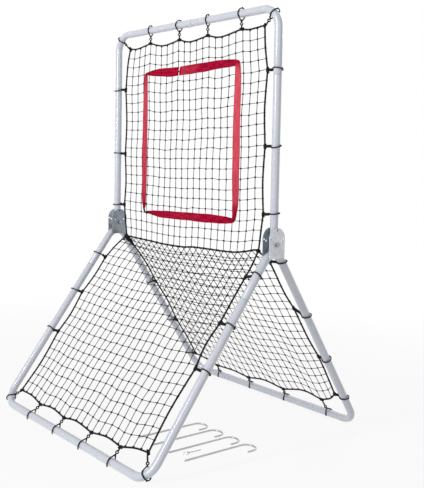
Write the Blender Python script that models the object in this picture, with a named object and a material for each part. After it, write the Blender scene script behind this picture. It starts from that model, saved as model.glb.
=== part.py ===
# Baseball rebound net: a tall upper net, hinged over two sloping ground nets on a steel tube frame.
# Metres, +Z up. The origin is on the floor under the middle of the frame, X runs along the hinge
# axis, and the thrower stands toward -Y.

import math

import bmesh
import bpy
from mathutils import Matrix, Vector

# Tubes, measured over the flats of their sides
TUBE_RADIUS = 0.0127
TUBE_WALL = 0.0012
TUBE_SIDES = 12
CORNER_RADIUS = 0.060
CORNER_STEPS = 6
ELBOW_RADIUS = 0.0445
ELBOW_STEPS = 8

# Slip joints: a necked tube end inside its neighbour, held by a snap button
SPIGOT_LENGTH = 0.050
SPIGOT_GAP = 0.0005
NECK_LENGTH = 0.0015
BUTTON_SETBACK = 0.022

# Frame, with the tube axes' places measured from the hinge axis
HALF_WIDTH = 0.426
HINGE_HEIGHT = 0.645
TOP_REACH = 0.713
FOOT_REACH = 0.444
LEAN = math.radians(1.8)
POST_TAIL = 0.014
POST_SEAM = 0.513
TOP_SEAM = 0.020
LEG_SEAM = 0.197
BAR_SEAM = 0.218
FRONT_BAR_SHIFT = -0.027

# Hinge brackets, with the holes' places measured from the bolt
PLATE_THICKNESS = 0.0025
PLATE_HALF_WIDTH = 0.0325
PLATE_TOP = 0.0505
PLATE_BOTTOM = 0.043
PLATE_CORNER = 0.004
BOLT_RADIUS = 0.004
BOLT_HEAD_ACROSS = 0.013
BOLT_HEAD_HEIGHT = 0.0053
BOLT_TAIL = 0.002
NUT_HEIGHT = 0.0065
LOCK_HOLE_REACH = 0.0435
STOP_HOLE_REACHES = (0.022, 0.0315)
STOP_HOLE_ANGLE = math.radians(30)

# Snap buttons, each one piece with its leaf spring
BUTTON_RADIUS = 0.003
BUTTON_RISE = 0.003
BUTTON_FOOT_RADIUS = 0.0038
BUTTON_FOOT_THICKNESS = 0.0012
LEAF_THICKNESS = 0.0007
LEAF_WIDTH = 0.006
LEAF_LENGTH = 0.030

# Lock pin with its detent ball and its pull ring
PIN_RADIUS = 0.003
PIN_LENGTH = 0.050
PIN_CHAMFER = 0.0006
PIN_HEAD_RADIUS = 0.0039
PIN_HEAD_LENGTH = 0.006
BALL_RADIUS = 0.0012
BALL_RISE = 0.0006
BALL_SETBACK = 0.0055
BALL_POCKET_DEPTH = 0.0045
RING_RADIUS = 0.0098
RING_WIRE_RADIUS = 0.00065
RING_HOLE_RADIUS = 0.0016
RING_HOLE_SETBACK = 0.003

# Ground stakes
STAKE_RADIUS = 0.003
STAKE_LENGTH = 0.260
STAKE_HOOK_WIDTH = 0.060
STAKE_HOOK_DROP = 0.051
STAKE_POINT = 0.006

# Cords and nets
ROPE_RADIUS = 0.0025
HINGE_ROPE_RADIUS = 0.0035
HINGE_ROPE_OVERHANG = 0.006
TIE_RADIUS = 0.00125
TIE_TURN = math.radians(300)
BAR_TIE_TURN = math.radians(160)
TIE_STEPS = 5
STRAND_WIDTH = 0.003
NET_THICKNESS = 0.0018
UPPER_GAPS = (11, 10)
GROUND_GAPS = (9, 9)

# Strike zone ribbons on the upper net, as places on its panel
RIBBON_WIDTH = 0.032
RIBBON_THICKNESS = 0.001
ZONE_HALF_WIDTH = 0.250
ZONE_BOTTOM = 0.053
ZONE_TOP = 0.559

# Gaps between neighbours
TOUCH_GAP = 0.0003
HOLE_GAP = 0.0003
HINGE_SWING_GAP = 0.008
ROPE_END_GAP = 0.0016

# Loose pieces, laid on the floor inside the frame
STAKE_ROW_START = 0.110
STAKE_PITCH = 0.078
STAKE_ROW_Y = -0.020
PIN_PLACE = (0.300, -0.200)

# The hinge rope, sagging below the hinge axis: (x, z) from the middle of the axis
HINGE_ROPE = [
    (-0.362, -0.048), (-0.204, -0.053), (-0.124, -0.056), (-0.015, -0.055), (0.051, -0.049),
    (0.230, -0.045), (0.300, -0.036), (0.346, -0.026), (0.361, -0.028),
]

# Edge ropes, as (x, reach from the hinge axis, set in from the panel), from the hinge outward on
# each side and from left to right along the far edge
UPPER_LEFT = [
    (-0.362, -0.036, 0), (-0.370, 0.011, 0), (-0.378, 0.070, 0), (-0.370, 0.160, 0),
    (-0.376, 0.265, 0), (-0.369, 0.385, 0), (-0.377, 0.508, 0), (-0.366, 0.600, 0),
    (-0.350, 0.659, 0),
]
UPPER_FAR = [
    (-0.350, 0.659, 0), (-0.304, 0.655, 0), (-0.223, 0.667, 0), (-0.144, 0.652, 0),
    (-0.053, 0.663, 0), (0.008, 0.651, 0), (0.099, 0.662, 0), (0.164, 0.651, 0),
    (0.264, 0.665, 0), (0.300, 0.660, 0), (0.367, 0.665, 0),
]
UPPER_RIGHT = [
    (0.363, -0.016, 0), (0.370, 0.036, 0), (0.378, 0.088, 0), (0.373, 0.190, 0),
    (0.379, 0.297, 0), (0.374, 0.410, 0), (0.383, 0.529, 0), (0.371, 0.601, 0),
    (0.367, 0.665, 0),
]
FRONT_LEFT = [
    (-0.381, 0.093, 0.022), (-0.389, 0.149, 0.016), (-0.373, 0.232, 0.007), (-0.374, 0.311, 0),
    (-0.363, 0.400, 0), (-0.372, 0.478, 0), (-0.362, 0.600, 0), (-0.374, 0.716, 0),
]
FRONT_FAR = [
    (-0.374, 0.716, 0), (-0.297, 0.716, 0), (-0.223, 0.728, 0), (-0.149, 0.720, 0),
    (-0.064, 0.729, 0), (0.003, 0.720, 0), (0.100, 0.728, 0), (0.178, 0.718, 0),
    (0.255, 0.724, 0), (0.315, 0.708, 0), (0.372, 0.702, 0),
]
FRONT_RIGHT = [
    (0.359, 0.078, 0.023), (0.361, 0.116, 0.020), (0.370, 0.192, 0.010), (0.380, 0.286, 0),
    (0.370, 0.360, 0), (0.379, 0.437, 0), (0.368, 0.570, 0), (0.372, 0.702, 0),
]
REAR_LEFT = [
    (-0.374, 0.090, 0.014), (-0.373, 0.190, 0.004), (-0.384, 0.293, 0), (-0.375, 0.390, 0),
    (-0.388, 0.498, 0), (-0.380, 0.590, 0), (-0.384, 0.683, 0),
]
REAR_FAR = [
    (-0.384, 0.683, 0), (-0.320, 0.697, 0), (-0.266, 0.717, 0), (-0.166, 0.714, 0),
    (-0.086, 0.727, 0), (0.012, 0.708, 0), (0.106, 0.724, 0), (0.222, 0.691, 0),
    (0.301, 0.708, 0), (0.350, 0.685, 0), (0.385, 0.651, 0),
]
REAR_RIGHT = [
    (0.376, 0.070, 0.005), (0.370, 0.120, 0), (0.370, 0.202, 0), (0.381, 0.268, 0),
    (0.382, 0.390, 0), (0.392, 0.475, 0), (0.391, 0.541, 0), (0.385, 0.651, 0),
]

# Ties, by the tube that they go round: the reach along a side tube, or the x along the far bar,
# and the number of the rope point above that they hold
UPPER_TIES = {
    "left": [(0.070, 2), (0.265, 4), (0.508, 6)],
    "far": [(-0.222, 2), (-0.054, 4), (0.098, 6), (0.263, 8)],
    "right": [(0.094, 2), (0.297, 4), (0.529, 6)],
    "corners": [("left", -1), ("right", -1)],
}
FRONT_TIES = {
    "left": [(0.145, 1), (0.311, 3), (0.478, 5)],
    "far": [(-0.239, 2), (-0.069, 4), (0.089, 6), (0.250, 8)],
    "right": [(0.112, 1), (0.286, 3), (0.437, 5)],
    "corners": [("left", -1), ("right", -1)],
}
REAR_TIES = {
    "left": [(0.293, 2), (0.498, 4), (0.683, 6)],
    "far": [(-0.282, 2), (-0.094, 4), (0.098, 6), (0.307, 8)],
    "right": [(0.068, 0), (0.286, 3), (0.475, 5), (0.651, 7)],
    "corners": [],
}
HINGE_TIE_REACH = 0.080

# Sizes that follow from the ones above
FLAT_TO_CORNER = 1 / math.cos(math.pi / TUBE_SIDES)
SPIGOT_RADIUS = TUBE_RADIUS - TUBE_WALL - SPIGOT_GAP
LEG_REACH = math.hypot(FOOT_REACH, HINGE_HEIGHT - TUBE_RADIUS)
LEG_SPLAY = math.atan2(FOOT_REACH, HINGE_HEIGHT - TUBE_RADIUS)
PLATE_INSET = TUBE_RADIUS + TOUCH_GAP
STACK_HALF = PLATE_INSET + PLATE_THICKNESS + TOUCH_GAP
TIE_CLEARANCE = TUBE_RADIUS * FLAT_TO_CORNER + TOUCH_GAP + TIE_RADIUS
NET_INSET = ROPE_RADIUS + 2 * TOUCH_GAP
STOP_HOLES = [
    (side * reach * math.cos(STOP_HOLE_ANGLE), reach * math.sin(STOP_HOLE_ANGLE))
    for side in (-1, 1)
    for reach in STOP_HOLE_REACHES
]

# Finishes: colour, metallic and roughness
FINISHES = {
    "grey_tube_paint": ((0.60, 0.65, 0.71), 0.35, 0.40),
    "zinc_plate": ((0.42, 0.44, 0.46), 0.85, 0.42),
    "bright_steel": ((0.50, 0.51, 0.53), 0.95, 0.28),
    "black_cord": ((0.018, 0.018, 0.020), 0.0, 0.75),
    "red_webbing": ((0.62, 0.02, 0.05), 0.0, 0.65),
}


def clear_scene():
    for obj in list(bpy.data.objects):
        bpy.data.objects.remove(obj, do_unlink=True)


def make_finishes():
    made = {}
    for name, (colour, metallic, roughness) in FINISHES.items():
        material = bpy.data.materials.new(name)
        material.use_nodes = True
        shader = material.node_tree.nodes["Principled BSDF"]
        shader.inputs["Base Color"].default_value = (*colour, 1)
        shader.inputs["Metallic"].default_value = metallic
        shader.inputs["Roughness"].default_value = roughness
        made[name] = material
    return made


# Placing objects


def link(obj, parent=None, matrix=None):
    bpy.context.scene.collection.objects.link(obj)
    obj.parent = parent
    if matrix is not None:
        obj.matrix_local = matrix
    return obj


def make_empty(name, parent, matrix):
    empty = bpy.data.objects.new(name, None)
    empty.empty_display_size = 0.05
    return link(empty, parent, matrix)


# An object whose material is its own copy of the finish, so that each piece can be recoloured
def make_piece(name, data, finish, parent, matrix):
    data.materials.clear()
    data.materials.append(finish.copy())
    data.materials[0].name = name
    return link(bpy.data.objects.new(name, data), parent, matrix)


# A matrix whose local X is `side` and local Z is `heading`
def frame_at(place, side, heading):
    heading = Vector(heading).normalized()
    side = Vector(side).normalized()
    across = heading.cross(side)
    turned = Matrix((side, across, heading)).transposed().to_4x4()
    return Matrix.Translation(place) @ turned


def helper(name, mesh, parent, matrix):
    obj = link(bpy.data.objects.new(name, mesh), parent, matrix)
    obj.hide_render = True
    obj.display_type = "WIRE"
    return obj


def boolean(obj, operation, other):
    modifier = obj.modifiers.new(operation.lower(), "BOOLEAN")
    modifier.operation = operation
    modifier.solver = "EXACT"
    if isinstance(other, bpy.types.Collection):
        modifier.operand_type = "COLLECTION"
        modifier.collection = other
    else:
        modifier.object = other


def smooth(mesh):
    mesh.shade_smooth()
    mesh.set_sharp_from_angle(angle=math.radians(35))


def mesh_from(bm, name):
    bmesh.ops.recalc_face_normals(bm, faces=bm.faces[:])
    mesh = bpy.data.meshes.new(name)
    bm.to_mesh(mesh)
    bm.free()
    smooth(mesh)
    return mesh


# Shapes


def cylinder(name, radius, start, end, sides=12):
    bm = bmesh.new()
    place = Matrix.Translation((0, 0, (start + end) / 2))
    bmesh.ops.create_cone(
        bm, cap_ends=True, segments=sides, radius1=radius, radius2=radius, depth=end - start, matrix=place
    )
    return mesh_from(bm, name)


# A solid turned about Z from its profile, a list of (radius, height) that starts and ends on the axis
def turned(name, profile, sides):
    bm = bmesh.new()
    verts = [bm.verts.new((radius, 0, height)) for radius, height in profile]
    edges = [bm.edges.new(pair) for pair in zip(verts, verts[1:])]
    bmesh.ops.spin(
        bm, geom=verts + edges, cent=(0, 0, 0), axis=(0, 0, 1), angle=2 * math.pi, steps=sides, use_merge=True
    )
    bmesh.ops.remove_doubles(bm, verts=bm.verts[:], dist=1e-6)
    return mesh_from(bm, name)


# A plate in the XY plane, centred on it: an outline with holes, filled and extruded
def plate_curve(name, outline, holes, thickness):
    curve = bpy.data.curves.new(name, "CURVE")
    curve.dimensions = "2D"
    curve.fill_mode = "BOTH"
    curve.extrude = thickness / 2
    for points in [outline, *holes]:
        spline = curve.splines.new("POLY")
        spline.points.add(len(points) - 1)
        spline.use_cyclic_u = True
        for point, (x, y) in zip(spline.points, points):
            point.co = (x, y, 0, 1)
    return curve


# A V or any other outline in the XZ plane, extruded to both sides of it along Y
def strip_mesh(name, outline, width):
    bm = bmesh.new()
    face = bm.faces.new([bm.verts.new((x, -width / 2, z)) for x, z in outline])
    made = bmesh.ops.extrude_face_region(bm, geom=[face])
    moved = [v for v in made["geom"] if isinstance(v, bmesh.types.BMVert)]
    bmesh.ops.translate(bm, verts=moved, vec=(0, width, 0))
    return mesh_from(bm, name)


def circle_points(centre, radius, sides, start=0.0):
    steps = [start + 2 * math.pi * i / sides for i in range(sides)]
    return [(centre[0] + radius * math.cos(a), centre[1] + radius * math.sin(a)) for a in steps]


def arc_points(centre, radius, start, end, steps):
    angles = [start + (end - start) * i / steps for i in range(steps + 1)]
    return [(centre[0] + radius * math.cos(a), centre[1] + radius * math.sin(a)) for a in angles]


# The skin of a bent tube that starts at the origin toward +Z. Each move is ("run", length),
# ("width", new radius) or ("bend", radius, angle, steps), which bends toward the local X side.
def tube_skin(name, radius, roll, moves):
    bm = bmesh.new()
    first_corner = roll + math.pi / TUBE_SIDES
    bmesh.ops.create_circle(
        bm, segments=TUBE_SIDES, radius=radius * FLAT_TO_CORNER, matrix=Matrix.Rotation(first_corner, 4, "Z")
    )
    ring = bm.edges[:]
    centre, heading, side = Vector(), Vector((0, 0, 1)), Vector((1, 0, 0))
    for kind, *sizes in moves:
        corners = list({v for edge in ring for v in edge.verts})
        if kind == "bend":
            bend_radius, angle, steps = sizes
            pivot = centre + side * bend_radius
            axis = heading.cross(side)
            made = bmesh.ops.spin(bm, geom=corners + ring, cent=pivot, axis=axis, angle=angle, steps=steps)
            ring = [e for e in made["geom_last"] if isinstance(e, bmesh.types.BMEdge)]
            rotation = Matrix.Rotation(angle, 3, axis)
            centre = pivot + rotation @ (centre - pivot)
            heading, side = rotation @ heading, rotation @ side
            continue
        made = bmesh.ops.extrude_edge_only(bm, edges=ring)
        moved = [v for v in made["geom"] if isinstance(v, bmesh.types.BMVert)]
        ring = [e for e in made["geom"] if isinstance(e, bmesh.types.BMEdge)]
        ring = [e for e in ring if all(v in moved for v in e.verts)]
        step = sizes[0] if kind == "run" else NECK_LENGTH
        bmesh.ops.translate(bm, verts=moved, vec=heading * step)
        centre = centre + heading * step
        if kind == "width":
            share = sizes[0] / radius
            radius = sizes[0]
            bmesh.ops.scale(bm, verts=moved, vec=(share,) * 3, space=Matrix.Translation(-centre))
    return mesh_from(bm, name)


def make_tube(name, finish, parent, matrix, moves, radius=TUBE_RADIUS, roll=0.0):
    tube = make_piece(name, tube_skin(name, radius, roll, moves), finish, parent, matrix)
    wall = tube.modifiers.new("wall", "SOLIDIFY")
    wall.thickness = TUBE_WALL
    wall.offset = -1
    wall.use_even_offset = True
    return tube


# A closed body along the points: a ring of corners at each, with flat ends unless it is a loop
def cord_mesh(name, points, radius, sides, loop=False):
    bm = bmesh.new()
    points = [Vector(point) for point in points]
    count = len(points)
    across = None
    rings = []
    for i, point in enumerate(points):
        before = points[i - 1] if i or loop else point
        after = points[(i + 1) % count] if i + 1 < count or loop else point
        along = ((point - before).normalized() + (after - point).normalized()).normalized()
        across = across or Vector((0.13, 1, 0.21)).cross(along)
        across = (across - along * across.dot(along)).normalized()
        up = along.cross(across)
        corners = circle_points((0, 0), radius, sides, math.pi / sides)
        rings.append([bm.verts.new(point + across * x + up * y) for x, y in corners])
    for a, b in zip(rings, rings[1:] + (rings[:1] if loop else [])):
        for k in range(sides):
            bm.faces.new((a[k], a[(k + 1) % sides], b[(k + 1) % sides], b[k]))
    if not loop:
        bm.faces.new(rings[0])
        bm.faces.new(rings[-1])
    return mesh_from(bm, name)


# Points on a smooth curve through the given ones
def smooth_path(points, steps):
    points = [Vector(point) for point in points]
    ends = [2 * points[0] - points[1], *points, 2 * points[-1] - points[-2]]
    path = []
    for a, b, c, d in zip(ends, ends[1:], ends[2:], ends[3:]):
        for i in range(steps):
            t = i / steps
            path.append(
                b
                + (c - a) * (t / 2)
                + (2 * a - 5 * b + 4 * c - d) * (t * t / 2)
                + (3 * b - a - 3 * c + d) * (t * t * t / 2)
            )
    return [*path, points[-1]]


# The point at a share of the path's length
def point_at(path, share):
    lengths = [(b - a).length for a, b in zip(path, path[1:])]
    left = share * sum(lengths)
    for (a, b), length in zip(zip(path, path[1:]), lengths):
        if left <= length:
            return a.lerp(b, left / length)
        left -= length
    return path[-1].copy()


# Frame tubes


def snap_hole(name, parent, matrix, tubes):
    start = SPIGOT_RADIUS - 2 * TUBE_WALL
    end = TUBE_RADIUS * FLAT_TO_CORNER + TUBE_WALL
    mesh = cylinder(name, BUTTON_RADIUS + HOLE_GAP, start, end, 8)
    cutter = helper(name, mesh, parent, matrix)
    for tube in tubes:
        boolean(tube, "DIFFERENCE", cutter)


def spigot_end():
    return [("width", SPIGOT_RADIUS), ("run", SPIGOT_LENGTH)]


def make_upper_frame(paint, upper):
    tubes = {}
    for name, side in (("left", -1), ("right", 1)):
        inward = Vector((-side, 0, 0))
        post_run = POST_TAIL + POST_SEAM - NECK_LENGTH
        foot = (side * HALF_WIDTH, 0, -POST_TAIL)
        moves = [("run", post_run), *spigot_end()]
        post = make_tube(f"post_{name}", paint, upper, frame_at(foot, inward, (0, 0, 1)), moves)
        cross = frame_at((side * HALF_WIDTH, 0, 0), (0, 1, 0), (1, 0, 0))
        reach = 2 * TUBE_RADIUS
        bolt_hole = cylinder("bolt_hole", BOLT_RADIUS + HOLE_GAP, -reach, reach, 10)
        boolean(post, "DIFFERENCE", helper(f"bolt_hole_{name}", bolt_hole, upper, cross))
        lock_hole = cylinder("lock_hole", PIN_RADIUS + HOLE_GAP, -reach, reach, 8)
        lock_place = Matrix.Translation((0, 0, LOCK_HOLE_REACH)) @ cross
        boolean(post, "DIFFERENCE", helper(f"lock_hole_{name}", lock_hole, upper, lock_place))

        rise = TOP_REACH - CORNER_RADIUS - POST_SEAM
        across = HALF_WIDTH - CORNER_RADIUS - side * TOP_SEAM
        moves = [("run", rise), ("bend", CORNER_RADIUS, math.pi / 2, CORNER_STEPS)]
        moves += [("run", across)] if side < 0 else [("run", across - NECK_LENGTH), *spigot_end()]
        place = frame_at((side * HALF_WIDTH, 0, POST_SEAM), inward, (0, 0, 1))
        corner = make_tube(f"top_corner_{name}", paint, upper, place, moves)
        tubes[f"post_{name}"] = post
        tubes[f"top_corner_{name}"] = corner
    return tubes


def make_lower_frame(paint, base, panels):
    tubes = {}
    for name, side in (("left", -1), ("right", 1)):
        up_leg = Vector((0, math.sin(LEG_SPLAY), math.cos(LEG_SPLAY)))
        bend_side = Vector((0, math.cos(LEG_SPLAY), -math.sin(LEG_SPLAY)))
        tangent = ELBOW_RADIUS / math.tan(LEG_SPLAY)
        start = Vector((side * HALF_WIDTH, 0, 0)) - up_leg * LEG_SEAM
        straight = LEG_SEAM - tangent
        moves = [
            ("run", straight),
            ("bend", ELBOW_RADIUS, math.pi - 2 * LEG_SPLAY, ELBOW_STEPS),
            ("run", straight),
        ]
        place = frame_at(start, bend_side, up_leg)
        tubes[f"hinge_elbow_{name}"] = make_tube(f"hinge_elbow_{name}", paint, base, place, moves)
        for end, (panel, inner, shift) in panels.items():
            # A necked start goes up into the elbow. The roll lays a flat of the bar on the floor.
            start = (side * HALF_WIDTH, 0, LEG_SEAM - SPIGOT_LENGTH)
            bar_end = HALF_WIDTH - CORNER_RADIUS - BAR_SEAM - side * shift - NECK_LENGTH
            moves = [
                ("run", SPIGOT_LENGTH),
                ("width", TUBE_RADIUS),
                ("run", LEG_REACH - CORNER_RADIUS - LEG_SEAM - NECK_LENGTH),
                ("bend", CORNER_RADIUS, math.pi / 2, CORNER_STEPS),
                ("run", bar_end),
            ]
            roll = side * inner * LEG_SPLAY
            place = frame_at(start, (-side, 0, 0), (0, 0, 1))
            key = f"{end}_corner_{name}"
            tubes[key] = make_tube(key, paint, panel, place, moves, SPIGOT_RADIUS, roll)
    for end, (panel, inner, shift) in panels.items():
        start = (shift - BAR_SEAM - NECK_LENGTH - SPIGOT_LENGTH, 0, LEG_REACH)
        moves = [
            ("run", SPIGOT_LENGTH),
            ("width", TUBE_RADIUS),
            ("run", 2 * BAR_SEAM),
            *spigot_end(),
        ]
        place = frame_at(start, (0, 0, -1), (1, 0, 0))
        key = f"{end}_bar"
        tubes[key] = make_tube(key, paint, panel, place, moves, SPIGOT_RADIUS, -inner * LEG_SPLAY)
    return tubes


# Snap buttons, in a frame whose Z points out of the tube and whose X runs down the spigot


def button_mesh():
    top = TUBE_RADIUS + BUTTON_RISE
    dome = arc_points((0, top - BUTTON_RADIUS), BUTTON_RADIUS, 0, math.pi / 2, 3)
    bore = SPIGOT_RADIUS - TUBE_WALL
    foot_top = bore - 4 * TOUCH_GAP
    foot = foot_top - BUTTON_FOOT_THICKNESS
    dome[-1] = (0, top)
    profile = [(0, foot), (BUTTON_FOOT_RADIUS, foot), (BUTTON_FOOT_RADIUS, foot_top), (BUTTON_RADIUS, foot_top)]
    head = turned("button_head", [*profile, *dome], 8)
    low = BUTTON_RISE + TOUCH_GAP - math.sqrt(bore**2 - LEAF_WIDTH**2 / 4)
    outline = [
        (-BUTTON_FOOT_RADIUS, foot + LEAF_THICKNESS / 2),
        (BUTTON_FOOT_RADIUS, foot + LEAF_THICKNESS / 2),
        (LEAF_LENGTH, (foot + low) / 2),
        (BUTTON_FOOT_RADIUS, low),
        (0, low),
        (0, low + LEAF_THICKNESS),
        (BUTTON_FOOT_RADIUS, low + LEAF_THICKNESS),
        (LEAF_LENGTH - 3 * LEAF_THICKNESS, (foot + low) / 2),
        (BUTTON_FOOT_RADIUS, foot - LEAF_THICKNESS / 2),
        (-BUTTON_FOOT_RADIUS, foot - LEAF_THICKNESS / 2),
    ]
    leaf = helper("button_leaf", strip_mesh("button_leaf", outline, LEAF_WIDTH), None, Matrix())
    joined = helper("button_joined", head, None, Matrix())
    boolean(joined, "UNION", leaf)
    bpy.context.view_layer.update()
    graph = bpy.context.evaluated_depsgraph_get()
    mesh = bpy.data.meshes.new_from_object(joined.evaluated_get(graph))
    bpy.data.objects.remove(joined)
    bpy.data.objects.remove(leaf)
    smooth(mesh)
    return mesh


def make_buttons(steel, tubes, base, upper, panels):
    mesh = button_mesh()
    places = []
    for name, side in (("left", -1), ("right", 1)):
        height = POST_SEAM + BUTTON_SETBACK
        matrix = frame_at((side * HALF_WIDTH, 0, height), (0, 0, -1), (-side, 0, 0))
        pair = (tubes[f"post_{name}"], tubes[f"top_corner_{name}"])
        places.append((f"post_{name}", upper, matrix, pair))
    matrix = frame_at((TOP_SEAM - BUTTON_SETBACK, 0, TOP_REACH), (1, 0, 0), (0, 0, -1))
    places.append(("top", upper, matrix, (tubes["top_corner_left"], tubes["top_corner_right"])))
    for end, (panel, inner, shift) in panels.items():
        for name, side in (("left", -1), ("right", 1)):
            corner = tubes[f"{end}_corner_{name}"]
            height = LEG_SEAM - BUTTON_SETBACK
            matrix = frame_at((side * HALF_WIDTH, 0, height), (0, 0, 1), (-side, 0, 0))
            pair = (tubes[f"hinge_elbow_{name}"], corner)
            places.append((f"{end}_leg_{name}", panel, matrix, pair))
            out = (0, inner * math.cos(LEG_SPLAY), -math.sin(LEG_SPLAY))
            x = shift + side * (BAR_SEAM + BUTTON_SETBACK)
            matrix = frame_at((x, 0, LEG_REACH), (-side, 0, 0), out)
            places.append((f"{end}_bar_{name}", panel, matrix, (tubes[f"{end}_bar"], corner)))
    for name, parent, matrix, pair in places:
        snap_hole(f"snap_hole_{name}", parent, matrix, pair)
        make_piece(f"snap_button_{name}", mesh.copy(), steel, parent, matrix)


# Hinge brackets


def plate_outline():
    width, low = PLATE_HALF_WIDTH, -PLATE_BOTTOM
    centre = PLATE_TOP - width
    outline = arc_points((0, centre), width, 0, math.pi, 10)
    for side, start in ((-1, math.pi), (1, 3 * math.pi / 2)):
        corner = (side * (width - PLATE_CORNER), low + PLATE_CORNER)
        outline += arc_points(corner, PLATE_CORNER, start, start + math.pi / 2, 2)
    return outline


def make_brackets(zinc, steel, base, lean):
    outline = plate_outline()
    pin_hole = PIN_RADIUS + HOLE_GAP
    holes = [circle_points((0, 0), BOLT_RADIUS + HOLE_GAP, 10)]
    holes += [circle_points(place, pin_hole, 8) for place in [(0, LOCK_HOLE_REACH), *STOP_HOLES]]
    hexagon = circle_points((0, 0), BOLT_HEAD_ACROSS / 2 / math.cos(math.pi / 6), 6)
    # The plates' own X and Y lie along the post's Y and Z
    for name, side in (("left", -1), ("right", 1)):
        for layer, way in (("inner", -1), ("outer", 1)):
            x = side * (HALF_WIDTH + way * (PLATE_INSET + PLATE_THICKNESS / 2))
            curve = plate_curve(f"bracket_{name}_{layer}", outline, holes, PLATE_THICKNESS)
            place = frame_at((x, 0, 0), (0, 1, 0), (1, 0, 0))
            make_piece(curve.name, curve, zinc, lean, place)

        head_x = STACK_HALF + BOLT_HEAD_HEIGHT / 2
        outward = frame_at((side * HALF_WIDTH, 0, 0), (0, 1, 0), (side, 0, 0))
        head = plate_curve("bolt_head", hexagon, [], BOLT_HEAD_HEIGHT)
        holder = helper("bolt_head", head, None, Matrix())
        bpy.context.view_layer.update()
        graph = bpy.context.evaluated_depsgraph_get()
        mesh = bpy.data.meshes.new_from_object(holder.evaluated_get(graph))
        bpy.data.objects.remove(holder)
        mesh.transform(Matrix.Translation((0, 0, head_x)))
        bolt = make_piece(f"hinge_bolt_{name}", mesh, steel, base, outward)
        tail = -STACK_HALF - NUT_HEIGHT - BOLT_TAIL
        shank = cylinder("bolt_shank", BOLT_RADIUS, tail, head_x, 10)
        boolean(bolt, "UNION", helper(f"bolt_shank_{name}", shank, base, outward))

        bore = [circle_points((0, 0), BOLT_RADIUS + HOLE_GAP, 10)]
        nut = plate_curve(f"hinge_nut_{name}", hexagon, bore, NUT_HEIGHT)
        seat = Matrix.Translation((0, 0, -STACK_HALF - NUT_HEIGHT / 2))
        make_piece(nut.name, nut, steel, base, outward @ seat)


# Nets, ropes and ties


# A net inside four edge paths, as strands that end just short of its ropes
def net_mesh(name, edges, gaps):
    near, far, left, right = edges
    near, far = inset(near, (0, 0, NET_INSET)), inset(far, (0, 0, -NET_INSET))
    left, right = inset(left, (NET_INSET, 0, 0)), inset(right, (-NET_INSET, 0, 0))
    near[0], near[-1] = left[0], right[0]
    far[0] = left[-1] = left[-1] - Vector((0, 0, NET_INSET))
    far[-1] = right[-1] = right[-1] - Vector((0, 0, NET_INSET))

    def place(s, t):
        p, q = point_at(near, s), point_at(far, s)
        a, b = point_at(left, t), point_at(right, t)
        corners = near[0].lerp(near[-1], s).lerp(far[0].lerp(far[-1], s), t)
        return p.lerp(q, t) + a.lerp(b, s) - corners

    def stations(count, length):
        half = STRAND_WIDTH / 2 / length
        inner = [i / count + way * half for i in range(1, count) for way in (-1, 1)]
        return [0.0, *inner, 1.0]

    across = stations(gaps[0], (far[-1] - far[0]).length)
    along = stations(gaps[1], (left[-1] - left[0]).length)
    bm = bmesh.new()
    grid = [[bm.verts.new(place(s, t)) for t in along] for s in across]
    for a in range(len(across) - 1):
        for b in range(len(along) - 1):
            if a % 2 or b % 2:
                bm.faces.new((grid[a][b], grid[a + 1][b], grid[a + 1][b + 1], grid[a][b + 1]))
    bmesh.ops.delete(bm, geom=[v for v in bm.verts if not v.link_faces], context="VERTS")
    return mesh_from(bm, name)


def make_net(name, cord, parent, edges, gaps):
    net = make_piece(name, net_mesh(name, edges, gaps), cord, parent, Matrix())
    body = net.modifiers.new("cord", "SOLIDIFY")
    body.thickness = NET_THICKNESS
    body.offset = 0
    body.use_even_offset = True
    return net


# A tie from a rope point to a tube, once round it or, on a bar on the floor, over it
def tie_points(rope_point, centre, along, turn, over):
    along = Vector(along).normalized()
    toward = Vector(rope_point) - Vector(centre)
    toward = (toward - along * toward.dot(along)).normalized()
    across = along.cross(toward)
    if across.dot(over) < 0:
        across = -across
    step = turn / TIE_STEPS
    radius = TIE_CLEARANCE / math.cos(step / 2)
    angles = [step * i for i in range(TIE_STEPS + 1)]
    wound = [
        Vector(centre) + toward * (radius * math.cos(a)) + across * (radius * math.sin(a)) for a in angles
    ]
    return [Vector(rope_point), *wound]


# Where each tie goes round its tube: its centre, the tube's direction there and how far it winds
def tie_seats(ties, reach, over):
    seats = []
    for name, side in (("left", -1), ("right", 1)):
        for place, number in ties[name]:
            seats.append((name, number, (side * HALF_WIDTH, 0, place), (0, 0, 1), TIE_TURN))
    bar_turn = BAR_TIE_TURN if over else TIE_TURN
    for place, number in ties["far"]:
        seats.append(("far", number, (place, 0, reach), (1, 0, 0), bar_turn))
    for name, number in ties["corners"]:
        side = -1 if name == "left" else 1
        out = CORNER_RADIUS * math.sqrt(0.5)
        centre = (side * (HALF_WIDTH - CORNER_RADIUS + out), 0, reach - CORNER_RADIUS + out)
        seats.append((name, number, centre, (-side, 0, 1), TIE_TURN))
    return seats


def make_rope(name, cord, parent, ropes, path, radius, seats, over):
    rope = make_piece(name, cord_mesh(name, path, radius, 6), cord, parent, Matrix())
    ties = bpy.data.collections.new(f"{name}_ties")
    bpy.context.scene.collection.children.link(ties)
    ties.hide_render = True
    for i, (edge, number, centre, along, turn) in enumerate(seats):
        points = tie_points(ropes[edge][number], centre, along, turn, over)
        tie = helper(f"{name}_tie_{i}", cord_mesh("tie", points, TIE_RADIUS, 4), parent, Matrix())
        ties.objects.link(tie)
        bpy.context.scene.collection.objects.unlink(tie)
    boolean(rope, "UNION", ties)
    return rope


def inset(path, shift):
    return [point + Vector(shift) for point in path]


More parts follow.
